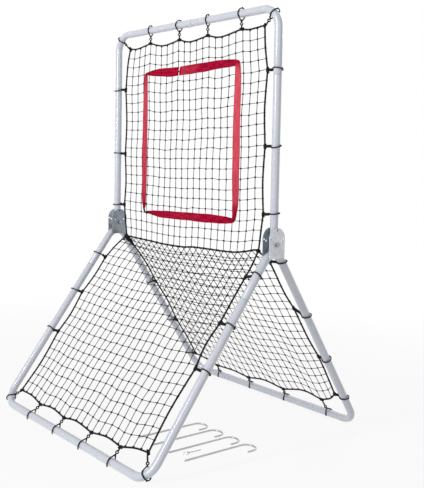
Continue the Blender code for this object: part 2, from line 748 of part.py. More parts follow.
def make_upper_net(cord, upper):
    ropes = {"left": UPPER_LEFT, "far": UPPER_FAR, "right": UPPER_RIGHT}
    ropes = {key: [Vector((x, -depth, v)) for x, v, depth in points] for key, points in ropes.items()}
    paths = {key: smooth_path(points, 2) for key, points in ropes.items()}
    whole = [*paths["left"][:-1], *paths["far"][:-1], *reversed(paths["right"])]
    seats = tie_seats(UPPER_TIES, TOP_REACH, None)
    make_rope("upper_net_rope", cord, upper, ropes, whole, ROPE_RADIUS, seats, Vector((0, 1, 0)))
    near = smooth_path([(x, 0, v + HINGE_SWING_GAP) for x, v in HINGE_ROPE], 2)
    edges = (near, paths["far"], paths["left"], paths["right"])
    return make_net("upper_net", cord, upper, edges, UPPER_GAPS)


# The hinge rope's points on a ground panel, moved down it to just clear of the rope
def hinge_edge(panel, clear):
    down = Vector((0, 0, clear))
    turn = Matrix.Rotation(-panel.rotation_euler.x, 3, "X")
    return [turn @ Vector((x, 0, z)) + down for x, z in HINGE_ROPE]


def make_ground_net(end, cord, panel, inner, sides, ties):
    start = hinge_edge(panel, HINGE_ROPE_RADIUS + ROPE_END_GAP)
    ropes = {
        key: [Vector((x, inner * depth, v)) for x, v, depth in points]
        for key, points in zip(("left", "far", "right"), sides)
    }
    paths = {
        "left": smooth_path([start[0], *ropes["left"]], 2),
        "far": smooth_path(ropes["far"], 2),
        "right": smooth_path([start[-1], *ropes["right"]], 2),
    }
    whole = [*paths["left"][:-1], *paths["far"][:-1], *reversed(paths["right"])]
    over = Vector((0, -inner, 0))
    seats = tie_seats(ties, LEG_REACH, True)
    make_rope(f"{end}_net_rope", cord, panel, ropes, whole, ROPE_RADIUS, seats, over)
    edges = (smooth_path(start, 2), paths["far"], paths["left"], paths["right"])
    return make_net(f"{end}_net", cord, panel, edges, GROUND_GAPS)


def make_hinge_rope(cord, base):
    points = [Vector((x, 0, z)) for x, z in HINGE_ROPE]
    path = smooth_path(points, 2)
    for end, near in ((0, 1), (-1, -2)):
        path[end] = path[end] + (path[end] - path[near]).normalized() * HINGE_ROPE_OVERHANG
    leg = Vector((0, math.sin(LEG_SPLAY), -math.cos(LEG_SPLAY)))
    centre = Vector((-HALF_WIDTH, 0, 0)) + leg * HINGE_TIE_REACH
    seats = [("rope", 0, centre, leg, TIE_TURN)]
    ropes = {"rope": points}
    over = Vector((0, -1, 0))
    return make_rope("hinge_rope", cord, base, ropes, path, HINGE_ROPE_RADIUS, seats, over)


def make_ribbons(webbing, upper):
    depth = -(NET_THICKNESS / 2 + TOUCH_GAP + RIBBON_THICKNESS / 2)
    half = RIBBON_WIDTH / 2
    width = 2 * ZONE_HALF_WIDTH + RIBBON_WIDTH
    low, high = ZONE_BOTTOM + half + TOUCH_GAP, ZONE_TOP - half - TOUCH_GAP
    middle = (low + high) / 2
    boxes = {
        "top": (0, ZONE_TOP, width, RIBBON_WIDTH),
        "bottom": (0, ZONE_BOTTOM, width, RIBBON_WIDTH),
        "left": (-ZONE_HALF_WIDTH, middle, RIBBON_WIDTH, high - low),
        "right": (ZONE_HALF_WIDTH, middle, RIBBON_WIDTH, high - low),
    }
    for name, (x, v, wide, tall) in boxes.items():
        bm = bmesh.new()
        size = Matrix.Diagonal((wide, RIBBON_THICKNESS, tall, 1))
        bmesh.ops.create_cube(bm, size=1, matrix=size)
        mesh = mesh_from(bm, name)
        make_piece(f"zone_ribbon_{name}", mesh, webbing, upper, Matrix.Translation((x, depth, v)))


# Loose pieces


def make_stakes(steel):
    bend = (STAKE_HOOK_WIDTH - 2 * STAKE_RADIUS) / 2
    straight = STAKE_LENGTH - STAKE_RADIUS - bend
    tip = -straight + STAKE_POINT
    hook = arc_points((bend, 0), bend, math.pi, 0, 8)
    end = (2 * bend, -(STAKE_HOOK_DROP - STAKE_RADIUS - bend))
    path = [(0, tip, 0), *[(x, y, 0) for x, y in hook], (*end, 0)]
    flat_radius = STAKE_RADIUS / math.cos(math.pi / 8)
    for i in range(4):
        place = Vector((STAKE_ROW_START + i * STAKE_PITCH, STAKE_ROW_Y, STAKE_RADIUS))
        mesh = stake_mesh(path, flat_radius)
        make_piece(f"ground_stake_{i + 1}", mesh, steel, None, Matrix.Translation(place))


# A round bar along a path in the XY plane, with a flat side down and a short cone at its tip
def stake_mesh(path, radius):
    bm = bmesh.new()
    points = [Vector(point) for point in path]
    up = Vector((0, 0, 1))
    rings = []
    for i, point in enumerate(points):
        before = points[max(i - 1, 0)]
        after = points[min(i + 1, len(points) - 1)]
        along = (after - before).normalized()
        across = up.cross(along)
        corners = circle_points((0, 0), radius, 8, math.pi / 8)
        rings.append([bm.verts.new(point + across * x + up * y) for x, y in corners])
    for a, b in zip(rings, rings[1:]):
        for k in range(8):
            bm.faces.new((a[k], a[(k + 1) % 8], b[(k + 1) % 8], b[k]))
    bm.faces.new(rings[-1])
    tip = bm.verts.new(points[0] - (points[1] - points[0]).normalized() * STAKE_POINT)
    for k in range(8):
        bm.faces.new((rings[0][k], rings[0][(k + 1) % 8], tip))
    return mesh_from(bm, "stake")


# The pin lies with its head toward the thrower, tipped to rest on its head and its tip
def make_pin(steel):
    tilt = math.atan((PIN_HEAD_RADIUS - PIN_RADIUS) / (PIN_LENGTH - PIN_CHAMFER))
    rest = Matrix.Rotation(-tilt, 3, "X") @ Vector((0, 1, 0))
    head = Vector((*PIN_PLACE, PIN_HEAD_RADIUS * math.cos(tilt)))
    place = frame_at(head, (1, 0, 0), rest)
    pin = make_empty("lock_pin_frame", None, place)
    profile = [
        (0, 0),
        (PIN_HEAD_RADIUS, 0),
        (PIN_RADIUS, PIN_HEAD_LENGTH),
        (PIN_RADIUS, PIN_LENGTH - PIN_CHAMFER),
        (PIN_RADIUS - PIN_CHAMFER, PIN_LENGTH),
        (0, PIN_LENGTH),
    ]
    body = make_piece("lock_pin", turned("lock_pin", profile, 20), steel, pin, Matrix())
    ring_hole = frame_at((0, 0, RING_HOLE_SETBACK), (0, 1, 0), (1, 0, 0))
    hole = cylinder("ring_hole", RING_HOLE_RADIUS, -2 * PIN_HEAD_RADIUS, 2 * PIN_HEAD_RADIUS, 8)
    boolean(body, "DIFFERENCE", helper("ring_hole", hole, pin, ring_hole))
    pocket_place = frame_at((0, 0, PIN_LENGTH - BALL_SETBACK), (0, 1, 0), (-1, 0, 0))
    top = 2 * PIN_RADIUS
    pocket = cylinder("ball_pocket", BALL_RADIUS + TOUCH_GAP, PIN_RADIUS - BALL_POCKET_DEPTH, top, 8)
    boolean(body, "DIFFERENCE", helper("ball_pocket", pocket, pin, pocket_place))

    bm = bmesh.new()
    bmesh.ops.create_icosphere(bm, subdivisions=1, radius=BALL_RADIUS)
    ball_place = pocket_place @ Matrix.Translation((0, 0, PIN_RADIUS + BALL_RISE - BALL_RADIUS))
    make_piece("lock_pin_ball", mesh_from(bm, "ball"), steel, pin, ball_place)

    # The ring hangs from its hole and drops until its far side meets the floor
    hole_place = place @ Vector((0, 0, RING_HOLE_SETBACK))
    drop = math.asin((hole_place.z - RING_WIRE_RADIUS - TOUCH_GAP) / (2 * RING_RADIUS))
    wave = RING_RADIUS * (1 - math.cos(math.asin(PIN_HEAD_RADIUS / RING_RADIUS))) / 2
    loop = [(x, y + wave - RING_RADIUS, 0) for x, y in circle_points((0, 0), RING_RADIUS, 18, math.pi / 18)]
    mesh = cord_mesh("ring", loop, RING_WIRE_RADIUS, 6, loop=True)
    ring_place = Matrix.Translation(hole_place) @ Matrix.Rotation(drop, 4, "X")
    make_piece("lock_pin_ring", mesh, steel, None, ring_place)


def main():
    clear_scene()
    finishes = make_finishes()
    paint, cord = finishes["grey_tube_paint"], finishes["black_cord"]
    zinc, steel = finishes["zinc_plate"], finishes["bright_steel"]
    hinge = Matrix.Translation((0, 0, HINGE_HEIGHT))
    base = make_empty("lower_frame", None, hinge)
    lean = make_empty("bracket_lean", base, Matrix.Rotation(LEAN, 4, "X"))
    upper = make_empty("upper_frame", None, hinge @ Matrix.Rotation(LEAN, 4, "X"))
    # Each ground panel's Z runs down its legs. Then its Y side that faces the other panel, and how
    # far its middle bar is off centre
    front = make_empty("front_panel", base, Matrix.Rotation(math.pi - LEG_SPLAY, 4, "X"))
    rear = make_empty("rear_panel", base, Matrix.Rotation(LEG_SPLAY - math.pi, 4, "X"))
    panels = {"front": (front, -1, FRONT_BAR_SHIFT), "rear": (rear, 1, 0)}

    tubes = make_upper_frame(paint, upper)
    tubes.update(make_lower_frame(paint, base, panels))
    make_buttons(steel, tubes, base, upper, panels)
    make_brackets(zinc, steel, base, lean)
    make_upper_net(cord, upper)
    make_ground_net("front", cord, front, -1, (FRONT_LEFT, FRONT_FAR, FRONT_RIGHT), FRONT_TIES)
    make_ground_net("rear", cord, rear, 1, (REAR_LEFT, REAR_FAR, REAR_RIGHT), REAR_TIES)
    make_hinge_rope(cord, base)
    make_ribbons(finishes["red_webbing"], upper)
    make_stakes(steel)
    make_pin(steel)
    for material in finishes.values():
        bpy.data.materials.remove(material)


main()
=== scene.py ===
import math
import random

import bmesh
import bpy
from mathutils import Matrix, Vector, noise


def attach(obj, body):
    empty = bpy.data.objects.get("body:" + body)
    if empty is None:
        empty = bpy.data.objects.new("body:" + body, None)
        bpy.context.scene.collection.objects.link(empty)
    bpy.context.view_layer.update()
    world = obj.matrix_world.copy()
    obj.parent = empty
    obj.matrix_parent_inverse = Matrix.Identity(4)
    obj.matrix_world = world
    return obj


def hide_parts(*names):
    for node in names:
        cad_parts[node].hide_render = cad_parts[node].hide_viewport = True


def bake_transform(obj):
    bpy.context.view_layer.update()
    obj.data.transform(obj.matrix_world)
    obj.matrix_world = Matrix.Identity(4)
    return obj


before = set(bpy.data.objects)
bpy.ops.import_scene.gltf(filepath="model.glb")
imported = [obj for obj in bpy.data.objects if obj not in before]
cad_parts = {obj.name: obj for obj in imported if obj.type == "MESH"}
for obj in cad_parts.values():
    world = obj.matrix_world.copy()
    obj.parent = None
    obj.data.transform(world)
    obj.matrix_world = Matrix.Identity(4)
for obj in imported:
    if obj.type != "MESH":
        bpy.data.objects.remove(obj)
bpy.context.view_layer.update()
print("frame loaded:", len(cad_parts), "nodes")


# the camera comes first: it stands where the photographer stood

shot = {
    "place": (2.0341, -1.6495, 0.8668),
    "yaw": 49.66,  # degrees
    "down": 2.42,
    "roll": 2.41,
    "focal": 756.2,  # pixels
    "middle": (204.3, 200.3),
    "width": 424,
    "height": 488,
}


def setCamera():
    yaw, down, roll = (math.radians(shot[key]) for key in ("yaw", "down", "roll"))
    ahead = Vector((-math.sin(yaw) * math.cos(down), math.cos(yaw) * math.cos(down), -math.sin(down)))
    level = Vector((math.cos(yaw), math.sin(yaw), 0))
    upright = level.cross(ahead)
    right = level * math.cos(roll) + upright * math.sin(roll)
    up = upright * math.cos(roll) - level * math.sin(roll)
    bpy.ops.object.camera_add(location=shot["place"])
    camera = bpy.context.view_layer.objects.active
    camera.matrix_world = Matrix.Translation(shot["place"]) @ Matrix((right, up, -ahead)).transposed().to_4x4()
    longSide = max(shot["width"], shot["height"])
    camera.data.sensor_width = 36
    camera.data.lens = shot["focal"] / longSide * 36
    camera.data.shift_x = (shot["width"] / 2 - shot["middle"][0]) / longSide
    camera.data.shift_y = (shot["middle"][1] - shot["height"] / 2) / longSide
    camera.data.clip_start = 0.05
    camera.data.clip_end = 60
    bpy.context.scene.camera = camera


setCamera()
print("camera set")


# where things are: the panels turn about the hinge line

plan = {
    "hingeHeight": 0.645,
    "footReach": 0.444,
    "tubeRadius": 0.0127,
    "wall": 0.0012,
    "halfWidth": 0.426,
    "topReach": 0.713,
    "lean": 1.8,  # degrees toward the thrower
}
drop = plan["hingeHeight"] - plan["tubeRadius"]
legReach = math.hypot(plan["footReach"], drop)
splay = math.atan2(plan["footReach"], drop)
hub = Matrix.Translation((0, 0, plan["hingeHeight"]))
upperPanel = hub @ Matrix.Rotation(math.radians(plan["lean"]), 4, "X")
frontPanel = hub @ Matrix.Rotation(math.pi - splay, 4, "X")
rearPanel = hub @ Matrix.Rotation(splay - math.pi, 4, "X")


def seatAt(place, side, heading):  # local X lies along side, local Z along heading
    heading, side = Vector(heading).normalized(), Vector(side).normalized()
    turned = Matrix((side, heading.cross(side), heading)).transposed().to_4x4()
    return Matrix.Translation(place) @ turned


# a few hand moves that every piece uses


def deselectAll():
    if bpy.context.mode != "OBJECT":
        bpy.ops.object.mode_set(mode="OBJECT")
    bpy.ops.object.select_all(action="DESELECT")


def pick(*objects):
    deselectAll()
    for obj in objects:
        obj.select_set(True)
    bpy.context.view_layer.objects.active = objects[0]
    return objects[0]


def newest(name):
    obj = bpy.context.view_layer.objects.active
    obj.name = name
    obj.data.name = name
    return obj


def editAll(obj):
    pick(obj)
    bpy.ops.object.mode_set(mode="EDIT")
    bpy.ops.mesh.select_all(action="SELECT")


def backToObject():
    bpy.ops.object.mode_set(mode="OBJECT")


def bakeModifiers(obj):
    pick(obj)
    for modifier in list(obj.modifiers):
        bpy.ops.object.modifier_apply(modifier=modifier.name)


def setDown(obj, matrix):  # the place goes into the mesh, and the object stays at the origin
    pick(obj)
    obj.matrix_world = matrix @ obj.matrix_world
    bpy.ops.object.transform_apply(location=True, rotation=True, scale=True)
    return obj


def fresh(name, operator, matrix=Matrix(), **settings):  # a new primitive by itself, set down at its place
    deselectAll()
    operator(**settings)
    return setDown(newest(name), matrix)


def copyOf(obj, name):
    pick(obj)
    bpy.ops.object.duplicate()
    return newest(name)


def selectWhere(obj, parts, test):
    bpy.ops.mesh.select_all(action="DESELECT")
    bm = bmesh.from_edit_mesh(obj.data)
    for part in getattr(bm, parts):
        part.select_set(test(part))
    bmesh.update_edit_mesh(obj.data)


def joinWith(obj, other, operation):
    step = obj.modifiers.new(operation, "BOOLEAN")
    step.operation = operation
    step.solver = "EXACT"
    step.object = other
    bakeModifiers(obj)
    bpy.data.objects.remove(other, do_unlink=True)


def thicken(obj, thickness, offset=0, even=False):
    step = obj.modifiers.new("thick", "SOLIDIFY")
    step.thickness = thickness
    step.offset = offset
    step.use_even_offset = even
    bakeModifiers(obj)
    return obj


def softenEdges(obj, width, angle=40):
    step = obj.modifiers.new("softEdges", "BEVEL")
    step.width = width
    step.segments = 2
    step.limit_method = "ANGLE"
    step.angle_limit = math.radians(angle)
    bakeModifiers(obj)


def shadeByAngle(obj, angle=35):
    pick(obj)
    bpy.ops.object.shade_smooth_by_angle(angle=math.radians(angle))


def finishPiece(obj, paint, body, node=None, smoothAngle=35):
    shadeByAngle(obj, smoothAngle)
    obj.data.materials.clear()
    obj.data.materials.append(paint)
    if body:
        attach(obj, body)
    if node:
        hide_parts(node)
    return obj


# the strike zone's webbing, a little inside the net

zone = {
    "width": 0.032,
    "thick": 0.001,
    "depth": -0.0017,
    "steps": 96,
    # where the webbing is gathered to a cord at the lower left corner
    "corner": [
        (-0.2450, 0.0735), (-0.2446, 0.0685), (-0.2418, 0.0613), (-0.2384, 0.0541), (-0.2335, 0.0509),
        (-0.2279, 0.0523), (-0.2214, 0.0541),
    ],
    "cornerLift": 0.0036,
    "cornerTwist": (0.0030, 0.008),  # radius and pitch
    "cornerStrand": 0.0019,
    "crown": 0.0010,
    "pucker": 0.0030,
    "ripple": 0.0005,
    "sway": 0.0012,
}


# materials


class Wire:  # a socket that can be used in sums
    def __init__(self, paint, socket):
        self.paint, self.socket = paint, socket

    def maths(self, operation, *values):
        return self.paint.add("ShaderNodeMath", {"operation": operation}, dict(enumerate(values)))

    def __add__(self, other):
        return self.maths("ADD", self, other)

    def __sub__(self, other):
        return self.maths("SUBTRACT", self, other)

    def __rsub__(self, other):
        return self.maths("SUBTRACT", other, self)

    def __mul__(self, other):
        return self.maths("MULTIPLY", self, other)

    def above(self, other):
        return self.maths("GREATER_THAN", self, other)

    __radd__ = __add__
    __rmul__ = __mul__


class Paint:  # one material and its nodes
    def __init__(self, name, **fixed):
        self.material = bpy.data.materials.new(name)
        self.material.use_nodes = True
        self.tree = self.material.node_tree
        self.shader = self.tree.nodes["Principled BSDF"]
        for socket, value in fixed.items():
            self.shader.inputs[socket.replace("_", " ")].default_value = value

    def plug(self, socket, value):
        if isinstance(value, Wire):
            self.tree.links.new(value.socket, socket)
        else:
            socket.default_value = value

    def add(self, kind, settings, sockets, out=0):
        node = self.tree.nodes.new(kind)
        for key, value in settings.items():
            setattr(node, key, value)
        for key, value in sockets.items():
            self.plug(node.inputs[key], value)
        return Wire(self, node.outputs[out])

    def here(self):
        return self.add("ShaderNodeTexCoord", {}, {}, "Object")

    def mapped(self):
        return self.add("ShaderNodeUVMap", {}, {})

    def axis(self, vector, number):
        return self.add("ShaderNodeSeparateXYZ", {}, {0: vector}, number)

    def stretched(self, vector, scale):
        return self.add("ShaderNodeMapping", {}, {"Vector": vector, "Scale": scale})

    def grain(self, vector, scale, detail=2.0, rough=0.5):
        sockets = {"Vector": vector, "Scale": scale, "Detail": detail, "Roughness": rough}
        return self.add("ShaderNodeTexNoise", {}, sockets, "Fac")

    def patches(self, vector, scale):
        return self.add("ShaderNodeTexVoronoi", {"feature": "F1"}, {"Vector": vector, "Scale": scale}, "Color")

    def bands(self, vector, scale, way):
        settings = {"wave_type": "BANDS", "bands_direction": way}
        return self.add("ShaderNodeTexWave", settings, {"Vector": vector, "Scale": float(scale)}, "Fac")

    def blend(self, factor, a, b):
        settings = {"data_type": "RGBA"}
        colours = {"Factor": factor, 6: self.asColour(a), 7: self.asColour(b)}
        return self.add("ShaderNodeMix", settings, colours, 2)

    def asColour(self, value):
        return value if isinstance(value, Wire) else (*value, 1)

    def relief(self, *layers):  # each is (height, distance, strength)
        normal = None
        for height, distance, strength in layers:
            sockets = {"Height": height, "Distance": distance, "Strength": strength}
            if normal:
                sockets["Normal"] = normal
            normal = self.add("ShaderNodeBump", {}, sockets)
        return normal

    def wear(self, **sockets):
        for socket, value in sockets.items():
            self.plug(self.shader.inputs[socket.replace("_", " ")], value)
        return self.material


coatLook = {
    "cloud": ((0.545, 0.585, 0.655), (0.605, 0.645, 0.712)),  # dark, light
    "speck": ((0.70, 0.74, 0.78), 0.74, 0.12),  # colour, how rare, how strong
    "rough": (0.25, 0.10),
    "peel": 0.05,
}


def powderCoat():
    paint = Paint("powderCoat", Metallic=0.0, Coat_Weight=1.0)
    paint.shader.inputs["Coat Roughness"].default_value = 0.14
    paint.shader.inputs["Specular IOR Level"].default_value = 0.9
    here = paint.here()
    cloud = paint.grain(here, 7, 3)
    speck = paint.grain(here, 700, 2)
    peel = paint.grain(here, 420, 2)
    speckColour, rare, strong = coatLook["speck"]
    colour = paint.blend(cloud, *coatLook["cloud"])
    colour = paint.blend(speck.above(rare) * strong, colour, speckColour)
    smooth, varied = coatLook["rough"]
    rough = smooth + varied * paint.grain(here, 50, 3)
    normal = paint.relief((peel, 0.0003, coatLook["peel"]))
    return paint.wear(Base_Color=colour, Roughness=rough, Normal=normal)


def zincPlate(name, dark, light):
    paint = Paint(name)
    here = paint.here()
    spangle = paint.axis(paint.patches(here, 230), 0)
    broad = paint.grain(here, 40, 4)
    brushed = paint.grain(paint.stretched(here, (1, 26, 3)), 220, 3)
    colour = paint.blend(spangle * 0.45 + broad * 0.55, dark, light)
    stain = paint.grain(here, 24, 2)
    colour = paint.blend((stain - 0.5) * 1.6, colour, (0.42, 0.38, 0.36))
    rough = 0.36 + 0.18 * spangle + 0.10 * brushed
    normal = paint.relief((brushed, 0.0003, 0.3), (spangle, 0.0002, 0.15))
    return paint.wear(Base_Color=colour, Metallic=0.85, Roughness=rough, Normal=normal)


def brightSteel(name, light, dark, rough, scratch=0.2):
    paint = Paint(name)
    here = paint.here()
    cloud = paint.grain(here, 130, 3)
    fine = paint.grain(here, 1800, 2)
    colour = paint.blend(cloud, dark, light)
    normal = paint.relief((fine, 0.0002, scratch))
    return paint.wear(Base_Color=colour, Metallic=0.92, Roughness=rough + 0.16 * cloud, Normal=normal)


def twistedCord(name, dark, light, fuzz):
    paint = Paint(name, Metallic=0.0, Sheen_Weight=0.02)
    paint.shader.inputs["Specular IOR Level"].default_value = 0.15
    here = paint.here()
    fluff = paint.grain(here, 2600, 3)
    patch = paint.grain(here, 38, 2)
    colour = paint.blend(patch * 0.5 + fluff * 0.5, dark, light)
    normal = paint.relief((fluff, fuzz, 0.5))
    return paint.wear(Base_Color=colour, Roughness=0.62 + 0.25 * fluff, Normal=normal)


webbingLook = {
    "doubled": ((0.21, 0.0003, 0.018), (0.56, 0.0008, 0.044), 7),  # dark, light, how sharp the streaks are
    # painted light: this lighter pink stands for light shining through a single layer of webbing
    "singleLitThrough": ((0.66, 0.085, 0.120), (0.86, 0.120, 0.165), 4.5),
    "cloud": (0.40, 0.003, 0.020),
    # painted shade: near black, for the pinched tips of the webbing
    "pinchedShade": (0.05, 0.0005, 0.006),
    "weave": (0.33, 0.003, 0.018),
    "stitch": (0.24, 0.003, 0.015),
    "stitchInset": 0.0027,
    "stitchHalfWidth": 0.0006,
}


# the webbing's UV is in metres; an attribute on its points paints light and shade into its colour: at 1 the
# darker crimson of the doubled webbing, below 1 a lighter pink that is painted light shining through the single
# layer, above 1 a near-black painted shade in the pinched tips
def wovenRibbon():
    paint = Paint("wovenRibbon", Metallic=0.0, Sheen_Weight=0.02)
    paint.shader.inputs["Sheen Roughness"].default_value = 0.4
    paint.shader.inputs["Specular IOR Level"].default_value = 0.05
    cloth = paint.mapped()
    weft = paint.bands(cloth, 205, "Y")
    weave = weft * 0.6 + paint.bands(cloth, 160, "X") * 0.4
    here = paint.here()
    cloud = paint.grain(here, 30, 3)
    fibre = paint.grain(here, 1500, 2)
    foldShade = paint.add("ShaderNodeAttribute", {"attribute_name": "foldShade"}, {}, "Fac")
    streak = paint.grain(paint.stretched(cloth, (1, 0.15, 1)), 170, 3, 0.6)
    streaked = {}
    for layer in ("doubled", "singleLitThrough"):
        dark, light, sharp = webbingLook[layer]
        streaked[layer] = paint.blend((streak - 0.5) * sharp + 0.5, dark, light)
    # painted light and shade: the attribute blends from the lighter pink (painted light through the webbing) to
    # the darker crimson, and past 1 into the painted shade of the pinched tips
    colour = paint.blend(foldShade, streaked["singleLitThrough"], streaked["doubled"])
    for share, tone in ((cloud * 0.2, "cloud"), (foldShade - 1, "pinchedShade"), (weave * 0.25, "weave")):
        colour = paint.blend(share, colour, webbingLook[tone])
    across = paint.axis(cloth, 0)
    fromMiddle = across.maths("ABSOLUTE", across - zone["width"] / 2)
    line = zone["width"] / 2 - webbingLook["stitchInset"]
    edge = across.maths("COMPARE", fromMiddle, line, webbingLook["stitchHalfWidth"])
    stitch = edge * paint.bands(cloth, 62, "Y").above(0.4)
    colour = paint.blend(stitch * 0.7, colour, webbingLook["stitch"])
    normal = paint.relief((weave, 0.0004, 0.5), (stitch, 0.0004, 0.6), (fibre, 0.0001, 0.3))
    return paint.wear(Base_Color=colour, Roughness=0.55 + 0.2 * fibre, Normal=normal)


finishes = {
    "tube": powderCoat(),
    # the plates' zinc is painted twice: the outer plates get a lighter copy as painted light, the inner plates
    # a darker copy as painted shade between the plates
    "outerPlate": zincPlate("zincPlate", (0.40, 0.415, 0.45), (0.80, 0.825, 0.87)),
    "innerPlate": zincPlate("shadedZincPlate", (0.18, 0.21, 0.24), (0.42, 0.46, 0.51)),
    "bolt": brightSteel("boltZinc", (0.46, 0.47, 0.48), (0.28, 0.29, 0.30), 0.34),
    "button": brightSteel("buttonSteel", (0.66, 0.66, 0.66), (0.50, 0.50, 0.51), 0.20),
    "stake": brightSteel("stakeZinc", (0.60, 0.60, 0.60), (0.36, 0.37, 0.38), 0.30, 0.4),
    "pin": brightSteel("pinSteel", (0.70, 0.70, 0.70), (0.52, 0.52, 0.53), 0.16),
    "rope": twistedCord("ropeCord", (0.004, 0.004, 0.005), (0.016, 0.016, 0.018), 0.0004),
    "twine": twistedCord("netTwine", (0.006, 0.006, 0.007), (0.020, 0.020, 0.022), 0.0002),
    "ribbon": wovenRibbon(),
    "gathered": twistedCord("gatheredWebbing", (0.020, 0.0006, 0.004), (0.075, 0.0012, 0.010), 0.0003),
}
print("materials made:", len(finishes))


# tubes and turned rods: a ring is drawn out, bent and necked, as on a bending bench


def drawOut(name, radius, moves, sides=48, start=(0, 0, 0)):
    pipe = fresh(name, bpy.ops.mesh.primitive_circle_add, vertices=sides, radius=radius, location=start)
    editAll(pipe)
    centre, heading, side = Vector(start), Vector((0, 0, 1)), Vector((1, 0, 0))
    for kind, *sizes in moves:
        if kind == "bend":
            bendRadius, angle, steps = sizes
            pivot, axis = centre + side * bendRadius, heading.cross(side)
            bpy.ops.mesh.spin(steps=steps, angle=angle, center=pivot, axis=-axis)
            turn = Matrix.Rotation(angle, 3, axis)
            centre = pivot + turn @ (centre - pivot)
            heading, side = turn @ heading, turn @ side
            continue
        reach = heading * sizes[-1]
        bpy.ops.mesh.extrude_region_move(TRANSFORM_OT_translate={"value": reach})
        centre = centre + reach
        if kind == "width":
            share, radius = sizes[0] / radius, sizes[0]
            bpy.ops.transform.resize(value=(share,) * 3, center_override=centre)
    backToObject()
    return pipe


def closeEnds(pipe):
    editAll(pipe)
    bpy.ops.mesh.select_all(action="DESELECT")
    bpy.ops.mesh.select_non_manifold()
    bpy.ops.mesh.fill_holes(sides=0)
    bpy.ops.mesh.select_all(action="SELECT")
    bpy.ops.mesh.normals_make_consistent(inside=False)
    backToObject()
    return pipe


def giveWall(pipe, wall):
    editAll(pipe)
    bpy.ops.mesh.normals_make_consistent(inside=False)
    backToObject()
    return thicken(pipe, wall, -1, True)


def punch(obj, matrix, radius, low, high):
    size = {"vertices": 32, "radius": radius, "depth": high - low, "location": (0, 0, (low + high) / 2)}
    joinWith(obj, fresh("drill", bpy.ops.mesh.primitive_cylinder_add, matrix, **size), "DIFFERENCE")


tubeWork = {
    "spigotRadius": 0.011,
    "spigotLength": 0.050,
    "neck": 0.0015,
    "cornerRadius": 0.060,
    "cornerSteps": 20,
    "elbowRadius": 0.0445,
    "elbowSteps": 22,
    "postTail": 0.014,
    "postSeam": 0.513,
    "topSeam": 0.020,
    "legSeam": 0.197,
    "barSeam": 0.218,
    "frontBarShift": -0.027,
    "buttonSetback": 0.022,
    "buttonHole": 0.0033,
    "boltHole": 0.0043,
    "lockHole": 0.0033,
    "lockReach": 0.0435,
    "drillDepth": 0.003,
    "drillRise": 0.002,
    "crossDrill": 0.02,
    "rim": 0.00025,
}
snapSeats = {}  # button name: (matrix, the tubes that it goes through)


def spigot():
    return [("width", tubeWork["spigotRadius"], tubeWork["neck"]), ("run", tubeWork["spigotLength"])]


def planSnapButtons():
    work, half = tubeWork, plan["halfWidth"]
    back = work["buttonSetback"]
    for name, side in (("left", -1), ("right", 1)):
        seat = upperPanel @ seatAt((side * half, 0, work["postSeam"] + back), (0, 0, -1), (-side, 0, 0))
        snapSeats[f"post_{name}"] = (seat, (f"post_{name}", f"top_corner_{name}"))
    seat = upperPanel @ seatAt((work["topSeam"] - back, 0, plan["topReach"]), (1, 0, 0), (0, 0, -1))
    snapSeats["top"] = (seat, ("top_corner_left", "top_corner_right"))
    for end, panel, inner, shift in groundEnds:
        for name, side in (("left", -1), ("right", 1)):
            corner = f"{end}_corner_{name}"
            seat = panel @ seatAt((side * half, 0, work["legSeam"] - back), (0, 0, 1), (-side, 0, 0))
            snapSeats[f"{end}_leg_{name}"] = (seat, (f"hinge_elbow_{name}", corner))
            out = (0, inner * math.cos(splay), -math.sin(splay))
            x = shift + side * (work["barSeam"] + back)
            seat = panel @ seatAt((x, 0, legReach), (-side, 0, 0), out)
            snapSeats[f"{end}_bar_{name}"] = (seat, (f"{end}_bar", corner))


groundEnds = (
    ("front", frontPanel, -1, tubeWork["frontBarShift"]),
    ("rear", rearPanel, 1, 0.0),
)
planSnapButtons()


def finishTube(node, pipe, matrix, body):
    giveWall(pipe, plan["wall"])
    setDown(pipe, matrix)
    low, high = tubeWork["spigotRadius"] - tubeWork["drillDepth"], plan["tubeRadius"] + tubeWork["drillRise"]
    for seat, tubes in snapSeats.values():
        if node in tubes:
            punch(pipe, seat, tubeWork["buttonHole"], low, high)
    if node.startswith("post"):
        x = plan["halfWidth"] * (-1 if "left" in node else 1)
        for height, radius in ((0, tubeWork["boltHole"]), (tubeWork["lockReach"], tubeWork["lockHole"])):
            seat = upperPanel @ seatAt((x, 0, height), (0, 1, 0), (1, 0, 0))
            punch(pipe, seat, radius, -tubeWork["crossDrill"], tubeWork["crossDrill"])
    softenEdges(pipe, tubeWork["rim"], 50)
    return finishPiece(pipe, finishes["tube"], body, node)


def makeUpperTubes():
    work, half, radius = tubeWork, plan["halfWidth"], plan["tubeRadius"]
    for name, side in (("left", -1), ("right", 1)):
        inward = (-side, 0, 0)
        post = [("run", work["postTail"] + work["postSeam"] - work["neck"]), *spigot()]
        foot = seatAt((side * half, 0, -work["postTail"]), inward, (0, 0, 1))
        finishTube(f"post_{name}", drawOut(f"postTube_{name}", radius, post), upperPanel @ foot, "upper_frame")
        rise = plan["topReach"] - work["cornerRadius"] - work["postSeam"]
        across = half - work["cornerRadius"] - side * work["topSeam"]
        corner = [("run", rise), ("bend", work["cornerRadius"], math.pi / 2, work["cornerSteps"])]
        corner += [("run", across)] if side < 0 else [("run", across - work["neck"]), *spigot()]
        seat = upperPanel @ seatAt((side * half, 0, work["postSeam"]), inward, (0, 0, 1))
        finishTube(f"top_corner_{name}", drawOut(f"topCornerTube_{name}", radius, corner), seat, "upper_frame")


